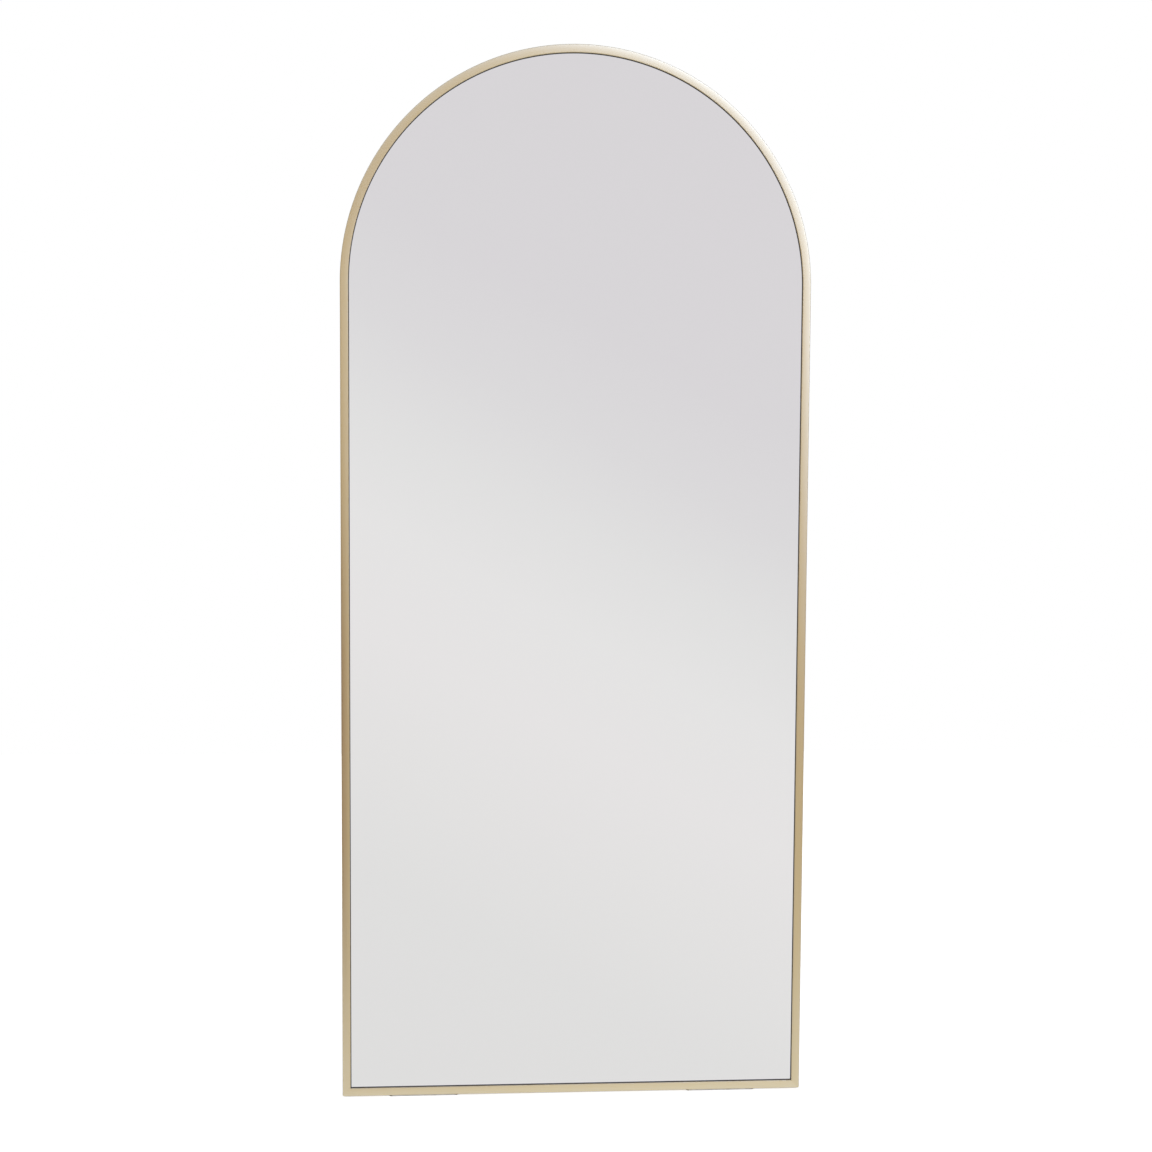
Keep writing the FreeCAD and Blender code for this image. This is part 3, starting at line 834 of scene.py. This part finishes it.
class MIRROR_OT_gasket(bpy.types.Operator):
    """Lay the rubber gasket between the metal lip and the glass"""
    bl_idname = "mirror.gasket"
    bl_label = "Gasket"

    def execute(self, context):
        sizes = context.scene.mirror_gasket
        rail = context.scene.mirror_rail
        edge = rail.face + sizes.show
        back = rail.lip + sizes.thickness
        root_middle = (rail.box_width + rail.face) / 2
        near = root_middle - sizes.root / 2
        far = root_middle + sizes.root / 2
        top = rail.lip - sizes.root
        soft = 0.45 * MM
        outline = rounded_corners([
            (sizes.inset, rail.lip, 0), (near, rail.lip, 0), (near, top, 0), (far, top, 0),
            (far, rail.lip, 0), (edge, rail.lip, soft), (edge, back, 0), (sizes.inset, back, 0)])
        stations = [("mitre", -1), *arched_stations(), ("mitre", 1)]
        points = [path_point(station, point.x, point.y) for station in stations for point in outline]
        faces = bridge(len(outline), len(stations), closed_path=True)
        piece = outward(mesh_object("glazing_gasket_band", points, faces))
        settle(piece, soft_rubber("dark_gasket", context.scene.mirror_colours.gasket),
               "glazing_gasket")
        return {"FINISHED"}


class MIRROR_OT_glass(bpy.types.Operator):
    """Give the pane its silvering"""
    bl_idname = "mirror.glass"
    bl_label = "Mirror glass"

    def execute(self, context):
        dress_node("mirror_glass", silvered_glass())
        return {"FINISHED"}


class MIRROR_OT_board(bpy.types.Operator):
    """Cut the hardboard back with its sawn, eased edge"""
    bl_idname = "mirror.board"
    bl_label = "Back board"

    def execute(self, context):
        sizes = context.scene.mirror_back
        edge = sizes.board_inset
        ease = sizes.board_edge
        stations = [("mitre", -1), *arch_stations(), ("mitre", 1)]
        rings = [(edge, board_front), (edge, board_back - ease), (edge + ease, board_back)]
        points = [path_point(station, inset, depth) for inset, depth in rings for station in stations]
        faces = closed_rows(len(stations), len(rings))
        piece = outward(mesh_object("backing_board_sheet", points, faces))
        settle(piece, hard_board(), "backing_board")
        return {"FINISHED"}


def cross_cutter(width, reach, top, depth):
    """Cutters for a tapered cross, in millimetres, from y = top down to its depth."""
    lift = 0.5
    floor_arm = (reach * 0.45, width * 0.35)
    mouth_arm = (reach, width / 2)
    cutters = []
    for turned in (False, True):
        points = []
        for arm, y in ((floor_arm, top - depth), (mouth_arm, top + lift)):
            a, b = reversed(arm) if turned else arm
            points += [(-a, y, -b), (a, y, -b), (a, y, b), (-a, y, b)]
        faces = [(0, 1, 2, 3), (7, 6, 5, 4), (0, 4, 5, 1), (1, 5, 6, 2), (2, 6, 7, 3), (3, 7, 4, 0)]
        cutters.append(outward(mesh_object("cross", points, faces)))
    return cutters


def screw_mesh(head, shank_radius, depth, cross):
    """A screw along Y in millimetres, with the back of the board at y = 0."""
    taper = 2.0
    plain_neck = 1.0
    turns = 5
    pitch = (depth - taper - plain_neck) / turns
    root = shank_radius * 0.78
    stations = [(0.3, -depth), (shank_radius * 0.8, -depth + taper)]
    for turn in range(turns):
        y = -depth + taper + pitch * turn
        stations += [(root, y + pitch * 0.2), (shank_radius, y + pitch * 0.5), (root, y + pitch * 0.8)]
    body = outward(mesh_object("screw", *lathe(stations + head, 28)))
    return carved(body, cross_cutter(*cross))


def evenly_spaced(start, end, longest):
    """Places from start to end in equal steps, none longer than the longest."""
    rounding = 1e-6
    steps = max(1, math.ceil(abs(end - start) / longest - rounding))
    return [start + (end - start) * step / steps for step in range(steps + 1)]


def board_screw_places(scene):
    """Where the pan head screws stand, as (x, z): round the frame, and three in each batten."""
    rail = scene.mirror_rail
    back = scene.mirror_back
    side = rail.width / 2 - back.screw_line
    places = []
    for z in evenly_spaced(rail.bottom + back.first_screw, arch_centre_z(), back.screw_pitch):
        places += [(-side, z), (side, z)]
    for angle in evenly_spaced(0, math.pi, back.screw_pitch / side)[1:-1]:
        places.append((-side * math.cos(angle), arch_centre_z() + side * math.sin(angle)))
    reach = rail.width / 2 - back.first_screw
    for x in evenly_spaced(-reach, reach, back.screw_pitch):
        places.append((x, rail.bottom + back.screw_line))
    for node in ("upper_batten", "middle_batten", "lower_batten"):
        low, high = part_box(node)
        for x in (low.x + back.batten_inset, 0.0, high.x - back.batten_inset):
            places.append((x, (low.z + high.z) / 2))
    return places


def turned_places(places, seed):
    """Placements on the board at (x, z) for a mesh in millimetres, each turned by chance."""
    chance = random.Random(seed)
    placements = []
    for x, z in places:
        spin = Matrix.Rotation(chance.uniform(0, math.pi), 4, "Y")
        placements.append(Matrix.Translation(at(x, board_back, z)) @ spin @ Matrix.Scale(MM, 4))
    return placements


class MIRROR_OT_board_screws(bpy.types.Operator):
    """Drive the pan head screws into frame and battens"""
    bl_idname = "mirror.board_screws"
    bl_label = "Board screws"

    def execute(self, context):
        sizes = context.scene.mirror_back
        radius = sizes.head_radius / MM
        height = sizes.head_height / MM
        shank = sizes.shank_radius / MM
        rim = 0.5
        flatness = 0.6
        dome_steps = 7
        head = [(shank * 0.8, -0.4), (shank, -0.02), (radius * 0.93, 0.0), (radius, 0.14), (radius, rim)]
        for step in range(1, dome_steps):
            angle = math.pi / 2 * step / dome_steps
            head.append((radius * math.cos(angle) ** flatness, rim + (height - rim) * math.sin(angle)))
        head.append((radius * 0.25, height))
        mesh = screw_mesh(head, shank, sizes.shank_length / MM, (1.0, 1.7, height, 1.2))
        placements = turned_places(board_screw_places(context.scene), 7)
        piece = placed_copies("board_screw_set", mesh, placements)
        settle(piece, plated_steel(), "board_screws")
        return {"FINISHED"}


def hanger_levels(scene):
    """Heights of the ring's bar, the two screws and the foot of the strap."""
    sizes = scene.mirror_hanger
    low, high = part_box("left_hanger_strap")
    pivot = high.z - sizes.bore_radius - sizes.strap_thickness
    upper = pivot - sizes.screw_drop
    return pivot, upper, upper - sizes.screw_pitch, low.z


def strap_outline(scene):
    """The folded strap from the side, as (depth behind the board, height) points in order."""
    sizes = scene.mirror_hanger
    pivot, _, _, foot = hanger_levels(scene)
    bore = sizes.bore_radius
    middle = sizes.strap_thickness
    outer = bore + middle
    stack = 2 * middle
    gap = sizes.fold_gap / 2
    steps = 24
    centre = Vector((outer, pivot))
    shoulder = Vector((stack, pivot - outer - sizes.strap_blend))
    to_shoulder = shoulder - centre
    lean = math.atan2(to_shoulder.y, to_shoulder.x) + math.acos(outer / to_shoulder.length)
    bore_end = -math.pi + math.acos((outer - middle - gap) / bore)

    def bend(radius, start, end):
        angles = [start + (end - start) * step / steps for step in range(steps + 1)]
        return [centre + Vector((math.cos(angle), math.sin(angle))) * radius for angle in angles]

    return [
        Vector((stack, foot)), shoulder, *bend(outer, lean, math.pi), Vector((0, foot)),
        Vector((middle - gap, foot)), Vector((middle - gap, pivot)),
        *bend(bore, math.pi, bore_end), Vector((middle + gap, foot)),
    ]


def foot_cutter(half, foot, stack):
    """What comes off the end of a strap to make it round, in millimetres."""
    spare = 0.02
    reach = half + spare
    side = half + 1
    below = foot - 1
    centre = foot + half
    steps = 40
    outline = [(side, centre), (side, below), (-side, below), (-side, centre)]
    for step in range(steps + 1):
        angle = math.pi * (1 + step / steps)
        outline.append((reach * math.cos(angle), centre + reach * math.sin(angle)))
    points = [(x, y, z) for y in (-1, stack + 1) for x, z in outline]
    return outward(mesh_object("foot", points, closed_rows(len(outline), 2)))


def strap_mesh(scene):
    """A folded strap with a rounded foot and two countersunk holes, in millimetres."""
    sizes = scene.mirror_hanger
    _, upper, lower, foot = hanger_levels(scene)
    outline = strap_outline(scene)
    half = sizes.strap_width / 2
    points = [Vector((side * half, point.x, point.y)) / MM for side in (-1, 1) for point in outline]
    strap = outward(mesh_object("strap", points, closed_rows(len(outline), 2)))
    stack = 2 * sizes.strap_thickness / MM
    head_play = 0.12
    shank_play = 0.25
    beyond = 0.5
    throat = 0.15
    head = sizes.head_radius / MM + head_play
    shank = sizes.shank_radius / MM + shank_play
    sink = [(shank, -beyond), (shank, throat), (head, stack), (head, stack + beyond)]
    cutters = [foot_cutter(half / MM, foot / MM, stack)]
    for level in (upper, lower):
        points, faces = lathe(sink, 40)
        lifted = [point + Vector((0, 0, level / MM)) for point in points]
        cutters.append(outward(mesh_object("sink", lifted, faces)))
    return carved(strap, cutters)


def tube_loop(path, radius, sides):
    """Points and faces of a closed round wire along a flat path in X and Z."""
    points = []
    count = len(path)
    for index, here in enumerate(path):
        heading = (path[(index + 1) % count] - path[index - 1]).normalized()
        aside = heading.cross(Vector((0, 1, 0)))
        for side in range(sides):
            angle = 2 * math.pi * side / sides
            points.append(here + (aside * math.cos(angle) + Vector((0, 1, 0)) * math.sin(angle)) * radius)
    return points, bridge(sides, count, closed_path=True)


def ring_path(sizes):
    """The middle of the ring's wire, with its bar at the origin."""
    bar_end = sizes.half_width - sizes.corner
    bow = sizes.half_width - sizes.drop
    least_step = 0.05 * MM
    bar_steps = 8
    path = [Vector((bar_end * (2 * step / bar_steps - 1), 0, 0)) for step in range(bar_steps)]
    for centre_x, centre_z, radius, start, end, steps in (
            (bar_end, -sizes.corner, sizes.corner, 90, 0, 10),
            (0, bow, sizes.half_width, 0, -180, 40),
            (-bar_end, -sizes.corner, sizes.corner, 180, 90, 10)):
        for step in range(steps + 1):
            angle = math.radians(start + (end - start) * step / steps)
            path.append(Vector((centre_x + radius * math.cos(angle), 0, centre_z + radius * math.sin(angle))))
    kept = [path[0]]
    for point in path[1:]:
        if (point - kept[-1]).length > least_step:
            kept.append(point)
    if (kept[-1] - kept[0]).length < least_step:
        kept.pop()
    return kept


class MIRROR_OT_hangers(bpy.types.Operator):
    """Fold the straps, bend the D-rings and set the countersunk screws"""
    bl_idname = "mirror.hangers"
    bl_label = "Ring hangers"

    def execute(self, context):
        scene = context.scene
        sizes = scene.mirror_hanger
        steel = plated_steel()
        pivot, upper, lower, _ = hanger_levels(scene)
        outer = sizes.bore_radius + sizes.strap_thickness
        reach = scene.mirror_rail.width / 2 - sizes.inset
        stack = 2 * sizes.strap_thickness
        clearance = 0.3 * MM
        lean = math.asin((stack + sizes.wire_radius + clearance - outer) / sizes.drop)
        mesh = strap_mesh(scene)
        wire, faces = tube_loop(ring_path(sizes), sizes.wire_radius, 20)
        for side, name in ((-1, "left"), (1, "right")):
            place = Matrix.Translation(at(side * reach, board_back, 0)) @ Matrix.Scale(MM, 4)
            strap = placed_copies(f"{name}_folded_strap", mesh, [place])
            settle(strap, steel, f"{name}_hanger_strap")
            swing = Matrix.Translation(at(side * reach, board_back + outer, pivot))
            swing = swing @ Matrix.Rotation(lean, 4, "X")
            ring = outward(mesh_object(f"{name}_wire_ring", [swing @ point for point in wire], faces))
            settle(ring, steel, f"{name}_hanger_ring", f"{name}_ring")
        radius = sizes.head_radius / MM
        shank = sizes.shank_radius / MM
        top = stack / MM
        head = [(shank * 0.8, -0.6), (shank, 0.0), (radius - 0.1, top - 0.28),
                (radius, top - 0.12), (radius - 0.06, top - 0.02), (radius * 0.3, top)]
        screw = screw_mesh(head, shank, (sizes.shank_length - stack) / MM, (1.15, 2.2, top, 1.5))
        places = [(side * reach, level) for side in (-1, 1) for level in (upper, lower)]
        piece = placed_copies("hanger_screw_set", screw, turned_places(places, 11))
        settle(piece, steel, "hanger_screws")
        return {"FINISHED"}


def pad_strip(sizes, rail):
    """Points and faces of the top pad, bent round the arch, with a channel along its middle."""
    outer = rail.width / 2 - sizes.pad_inset
    inner = outer - sizes.pad_width
    middle = (outer + inner) / 2
    mouth = 1.98 * MM
    floor = 1.08 * MM
    floor_depth = bumper_back - sizes.channel
    soft = 0.25 * MM
    outline = rounded_corners([
        (inner, board_back, 0), (outer, board_back, 0), (outer, bumper_back, sizes.edge),
        (middle + mouth, bumper_back, soft), (middle + floor, floor_depth, soft),
        (middle - floor, floor_depth, soft), (middle - mouth, bumper_back, soft),
        (inner, bumper_back, sizes.edge)])
    turn = sizes.pad_length / middle
    steps = 40
    points = []
    for step in range(steps + 1):
        angle = math.pi / 2 - turn / 2 + turn * step / steps
        for point in outline:
            x = -point.x * math.cos(angle)
            points.append(at(x, point.y, arch_centre_z() + point.x * math.sin(angle)))
    return points, closed_rows(len(outline), steps + 1)


def bumper_stations(sizes):
    """A bumper's side from the board up, a rounded edge, and the dish in its end."""
    tip = sizes.bumper_radius - sizes.bumper_taper
    standing = bumper_back - board_back
    edge = sizes.edge
    dish = sizes.bumper_dish
    steps = 6
    stations = [(sizes.bumper_radius, 0)]
    for step in range(steps + 1):
        angle = math.pi / 2 * step / steps
        stations.append((tip - edge + edge * math.cos(angle), standing - edge + edge * math.sin(angle)))
    return stations + [
        (tip * 0.62, standing), (tip * 0.55, standing - dish * 0.4),
        (tip * 0.48, standing - dish), (tip * 0.2, standing - dish),
    ]


class MIRROR_OT_wall_rubber(bpy.types.Operator):
    """Mould the top pad and the four bumpers that touch the wall"""
    bl_idname = "mirror.wall_rubber"
    bl_label = "Wall pad and bumpers"

    def execute(self, context):
        scene = context.scene
        sizes = scene.mirror_rubber
        rail = scene.mirror_rail
        rubber = soft_rubber("black_rubber", scene.mirror_colours.rubber)
        pad = outward(mesh_object("top_wall_pad_strip", *pad_strip(sizes, rail)))
        settle(pad, rubber, "top_wall_pad")
        points, faces = lathe(bumper_stations(sizes), 64)
        x = rail.width / 2 - sizes.bumper_inset
        for level, z in (("upper", arch_centre_z()), ("lower", rail.bottom + sizes.bumper_rise)):
            for name, side in ((f"{level}_left", -1), (f"{level}_right", 1)):
                spot = at(side * x, board_back, z)
                placed = [point + spot for point in points]
                bumper = outward(mesh_object(f"{name}_dished_bumper", placed, faces))
                settle(bumper, rubber, f"{name}_bumper")
        return {"FINISHED"}


def foot_outline(sizes, depth, thick):
    """A foot pad from the side: flat on top, with four grooves and rounded ribs below."""
    half_groove = 0.8 * MM
    half_floor = half_groove * 0.7
    edge = 0.35 * MM
    lip = 0.2 * MM
    soft = 0.15 * MM
    grooves = 4
    corners = [(0, thick, 0), (0, 0, edge)]
    for index in range(grooves):
        centre = depth / (grooves + 1) * (index + 1)
        corners += [(centre - half_groove, 0, lip), (centre - half_floor, sizes.foot_groove, soft),
                    (centre + half_floor, sizes.foot_groove, soft), (centre + half_groove, 0, lip)]
    return rounded_corners(corners + [(depth, 0, edge), (depth, thick, 0)], 4)


class MIRROR_OT_foot_pads(bpy.types.Operator):
    """Mould the two ribbed pads that the mirror stands on"""
    bl_idname = "mirror.foot_pads"
    bl_label = "Foot pads"

    def execute(self, context):
        sizes = context.scene.mirror_rubber
        rubber = soft_rubber("pale_rubber", context.scene.mirror_colours.foot)
        radius = sizes.foot_corner
        for name in ("left", "right"):
            low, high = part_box(f"{name}_foot_pad")
            depth = high.y - low.y
            middle_x = (low.x + high.x) / 2
            half = (high.x - low.x) / 2
            outline = foot_outline(sizes, depth, high.z - low.z)
            points = []
            for side in (-1, 1):
                for point in outline:
                    near = min(point.x, depth - point.x)
                    bite = radius - math.sqrt(max(0.0, radius ** 2 - max(0.0, radius - near) ** 2))
                    points.append(Vector((middle_x + side * (half - bite), low.y + point.x, low.z + point.y)))
            pad = outward(mesh_object(f"{name}_ribbed_foot", points, closed_rows(len(outline), 2)))
            settle(pad, rubber, f"{name}_foot_pad")
        return {"FINISHED"}


class MIRROR_OT_inner_pieces(bpy.types.Operator):
    """Finish the pieces that the frame holds inside"""
    bl_idname = "mirror.inner_pieces"
    bl_label = "Inner pieces"

    def execute(self, context):
        cast = moulded("cast_key", (0.56, 0.56, 0.57), (0.42, 0.62), 1400.0, 0.00008, 1.0)
        blocks = moulded("moulded_block", (0.72, 0.72, 0.70), (0.38, 0.5), 1800.0, 0.00004)
        film = moulded("backing_film", (0.46, 0.50, 0.53), (0.22, 0.34), 500.0, 0.00002)
        foam = moulded("white_foam", (0.80, 0.80, 0.79), (0.85, 0.95), 900.0, 0.0002)
        for material, names in (
                (cast, ("left_corner_key", "right_corner_key")),
                (blocks, ("left_setting_block", "right_setting_block")),
                (film, ("safety_film",)),
                (foam, ("cushion_sheet",)),
                (plated_steel(), ("corner_key_screws",)),
                (plain_batten_wood(), ("upper_batten", "middle_batten", "lower_batten")),
                (packing_card(), ("top_packing_panel", "upper_packing_panel",
                                  "lower_packing_panel", "bottom_packing_panel"))):
            for name in names:
                dress_node(name, material)
        return {"FINISHED"}


# ---------------------------------------------------------------- stage
def pale_bands(board, sideways, height):
    """Soft pale bands that fall from the upper left to the lower right."""
    slope = board.math("MULTIPLY_ADD", sideways, 0.54, height)
    ramp = board.add("ShaderNodeValToRGB", {"Fac": board.ranged(slope, -0.4, 0.2)})
    stops = ramp.color_ramp.elements
    stops[0].color = (0.925, 0.935, 0.925, 1)
    stops[1].color = (0.865, 0.855, 0.875, 1)
    for position, tone in (
            (0.22, (0.935, 0.945, 0.935)), (0.33, (0.965, 0.970, 0.960)), (0.44, (0.992, 0.990, 0.985)),
            (0.54, (0.985, 0.992, 0.985)), (0.63, (0.945, 0.955, 0.950)), (0.72, (0.895, 0.895, 0.905)),
            (0.82, (0.868, 0.860, 0.880))):
        stops.new(position).color = colour(tone)
    return ramp.outputs["Color"]


def studio_world(choices, tones):
    """White in view. The mirror sees soft pale bands, and the metal also a dark wall on the left, a window
    above right and light from the floor and the ceiling. The room is laid out by how far a direction turns
    to the right of straight ahead and above it, as tangents, scaled and moved to suit the camera.
    """
    world = bpy.data.worlds.new("studio")
    bpy.context.scene.world = world
    world.use_nodes = True
    board = Board(world.node_tree)
    direction = board.add("ShaderNodeTexCoord").outputs["Generated"]
    parts = board.add("ShaderNodeSeparateXYZ", {"Vector": direction}).outputs
    least_ahead = 0.05
    spread = 0.869
    shift_right = 0.011
    shift_up = -0.026
    ahead = board.math("MAXIMUM", board.times(parts["Y"], -1.0), least_ahead)
    sideways = board.math("MULTIPLY_ADD", board.math("DIVIDE", parts["X"], ahead), spread, shift_right)
    height = board.math("MULTIPLY_ADD", board.math("DIVIDE", parts["Z"], ahead), spread, shift_up)
    pale = pale_bands(board, sideways, height)

    def near(value, middle, inner, outer, beyond=0.0):
        """1 within a distance of the middle, falling softly to another value."""
        distance = board.math("ABSOLUTE", board.math("SUBTRACT", value, middle))
        return board.ranged(distance, inner, outer, 1.0, beyond, smooth=True)

    def soft_step(value, start, end):
        return board.ranged(value, start, end, smooth=True)

    window_middle = Vector((0.483, -0.750, 0.410)).normalized()
    window = board.add("ShaderNodeVectorMath", {0: direction, 1: window_middle}, operation="DOT_PRODUCT")
    lit = board.mix(soft_step(window.outputs["Value"], 0.82, 0.965), (0, 0, 0, 1), colour(tones.window))
    left = board.times(soft_step(sideways, 0.0, -0.088), near(height, -0.238, 0.14, 0.185, 0.253))
    right = board.times(soft_step(sideways, 0.234, 0.453), near(height, -0.252, 0.22, 0.26))
    straight = board.times(near(sideways, 0.073, 0.122, 0.192), near(height, -0.085, 0.279, 0.349))
    seen = board.mix(left, pale, colour(tones.left_wall))
    seen = board.mix(right, seen, colour(tones.right_wall))
    seen = board.mix(soft_step(height, -0.308, -0.346), seen, colour(tones.low_light))
    seen = board.mix(soft_step(height, 0.30, 0.34), seen, colour(tones.high_light))
    seen = board.mix(1.0, seen, lit, "ADD")
    seen = board.mix(straight, seen, pale)
    seen = board.mix(near(parts["Y"], 0.0, 0.25, 0.6), seen, colour(tones.edge_dark))
    seen = board.mix(soft_step(parts["Y"], 0.2, 0.5), seen, colour(tones.behind))
    path = board.add("ShaderNodeLightPath").outputs
    seen = board.mix(path["Is Singular Ray"], seen, pale)
    room = board.add("ShaderNodeBackground", {"Color": colour((1, 1, 1)), "Strength": choices.room_light})
    mirrored = board.add("ShaderNodeBackground", {"Color": seen, "Strength": 1.0})
    white = board.add("ShaderNodeBackground", {"Color": colour((1, 1, 1)), "Strength": 1.0})
    inner = board.add("ShaderNodeMixShader", {
        0: path["Is Glossy Ray"], 1: room.outputs[0], 2: mirrored.outputs[0]})
    outer = board.add("ShaderNodeMixShader", {
        0: path["Is Camera Ray"], 1: inner.outputs[0], 2: white.outputs[0]})
    output = board.add("ShaderNodeOutputWorld")
    board.feed(output.inputs["Surface"], outer.outputs[0])


def floor_finish():
    """A pale floor that is white in view, apart from the shadow of the object."""
    material = bpy.data.materials.new("pale_floor")
    material.use_nodes = True
    board = Board(material.node_tree)
    path = board.add("ShaderNodeLightPath").outputs
    place = board.add("ShaderNodeTexCoord").outputs["Object"]
    tone = board.mix(board.noise(place, 40.0, 3.0, 0.5), (0.80, 0.80, 0.80, 1), (0.84, 0.84, 0.84, 1))
    lit = board.add("ShaderNodeBsdfDiffuse", {"Color": tone, "Roughness": 0.3})
    strength = board.times(path["Is Camera Ray"], 0.55)
    lift = board.add("ShaderNodeEmission", {"Color": colour((1, 1, 1)), "Strength": strength})
    mixed = board.add("ShaderNodeAddShader", {0: lit.outputs[0], 1: lift.outputs[0]})
    output = board.add("ShaderNodeOutputMaterial")
    board.feed(output.inputs["Surface"], mixed.outputs[0])
    return material


def soft_lamp(name, place, aim, size, power):
    """A rectangular light aimed at a point, left out of reflections."""
    lamp = bpy.data.lights.new(name, "AREA")
    lamp.shape = "RECTANGLE"
    lamp.size, lamp.size_y = size
    lamp.energy = power
    holder = bpy.data.objects.new(name, lamp)
    holder.location = place
    holder.rotation_euler = (Vector(aim) - Vector(place)).to_track_quat("-Z", "Y").to_euler()
    holder.visible_glossy = False
    bpy.context.scene.collection.objects.link(holder)


class MIRROR_OT_stage(bpy.types.Operator):
    """Lay the floor and set the lights and the camera"""
    bl_idname = "mirror.stage"
    bl_label = "Stage"

    def execute(self, context):
        scene = context.scene
        choices = scene.mirror_stage
        reach = choices.floor_width / 2
        front = -choices.floor_front
        back = choices.floor_back
        corners = [(-reach, front, 0), (reach, front, 0), (reach, back, 0), (-reach, back, 0)]
        floor = mesh_object("studio_floor", corners, [(0, 1, 2, 3)])
        floor.data.materials.append(floor_finish())
        floor.visible_glossy = False
        studio_world(choices, scene.mirror_reflections)
        soft_lamp("key_softbox", (2.2, -2.6, 3.0), (0, 0, 1.0), (1.8, 1.8), choices.key_power)
        soft_lamp("fill_softbox", (-2.8, -2.2, 1.8), (0, 0, 0.9), (1.8, 2.2), choices.fill_power)
        soft_lamp("back_softbox", (-1.0, 3.0, 2.8), (0, 0, 1.0), (2.2, 1.6), choices.back_power)
        camera = bpy.data.cameras.new("photo_camera")
        camera.lens = choices.lens
        camera.sensor_width = 36.0
        camera.clip_end = 50.0
        holder = bpy.data.objects.new("photo_camera", camera)
        holder.location = choices.camera_place
        holder.rotation_euler = Euler(choices.camera_turn, "XYZ")
        scene.collection.objects.link(holder)
        scene.camera = holder
        scene.view_settings.view_transform = "Standard"
        return {"FINISHED"}


class MIRROR_PT_panel(bpy.types.Panel):
    bl_idname = "MIRROR_PT_panel"
    bl_label = "Arched floor mirror"
    bl_space_type = "VIEW_3D"
    bl_region_type = "UI"
    bl_category = "Floor mirror"

    def draw(self, context):
        for operator in OPERATORS:
            self.layout.operator(operator.bl_idname)
        for title in GROUPS:
            box = self.layout.box()
            box.label(text=title.replace("_", " "))
            group = getattr(context.scene, title)
            for key in group.bl_rna.properties.keys():
                if key not in ("rna_type", "name"):
                    box.prop(group, key)


GROUPS = {
    "mirror_rail": MirrorRailSizes,
    "mirror_gasket": MirrorGasketSizes,
    "mirror_back": MirrorBackSizes,
    "mirror_hanger": MirrorHangerSizes,
    "mirror_rubber": MirrorRubberSizes,
    "mirror_colours": MirrorColours,
    "mirror_reflections": MirrorReflections,
    "mirror_stage": MirrorStageSettings,
}
OPERATORS = [
    MIRROR_OT_rails,
    MIRROR_OT_gasket,
    MIRROR_OT_glass,
    MIRROR_OT_board,
    MIRROR_OT_board_screws,
    MIRROR_OT_hangers,
    MIRROR_OT_wall_rubber,
    MIRROR_OT_foot_pads,
    MIRROR_OT_inner_pieces,
    MIRROR_OT_stage,
]


def register():
    for title, group in GROUPS.items():
        bpy.utils.register_class(group)
        setattr(bpy.types.Scene, title, bpy.props.PointerProperty(type=group))
    for operator in OPERATORS:
        bpy.utils.register_class(operator)
    bpy.utils.register_class(MIRROR_PT_panel)


def unregister():
    bpy.utils.unregister_class(MIRROR_PT_panel)
    for operator in reversed(OPERATORS):
        bpy.utils.unregister_class(operator)
    for title, group in reversed(GROUPS.items()):
        delattr(bpy.types.Scene, title)
        bpy.utils.unregister_class(group)


def main():
    register()
    bpy.ops.mirror.rails()
    bpy.ops.mirror.gasket()
    bpy.ops.mirror.glass()
    bpy.ops.mirror.board()
    bpy.ops.mirror.board_screws()
    bpy.ops.mirror.hangers()
    bpy.ops.mirror.wall_rubber()
    bpy.ops.mirror.foot_pads()
    bpy.ops.mirror.inner_pieces()
    bpy.ops.mirror.stage()


if __name__ == "__main__":
    main()
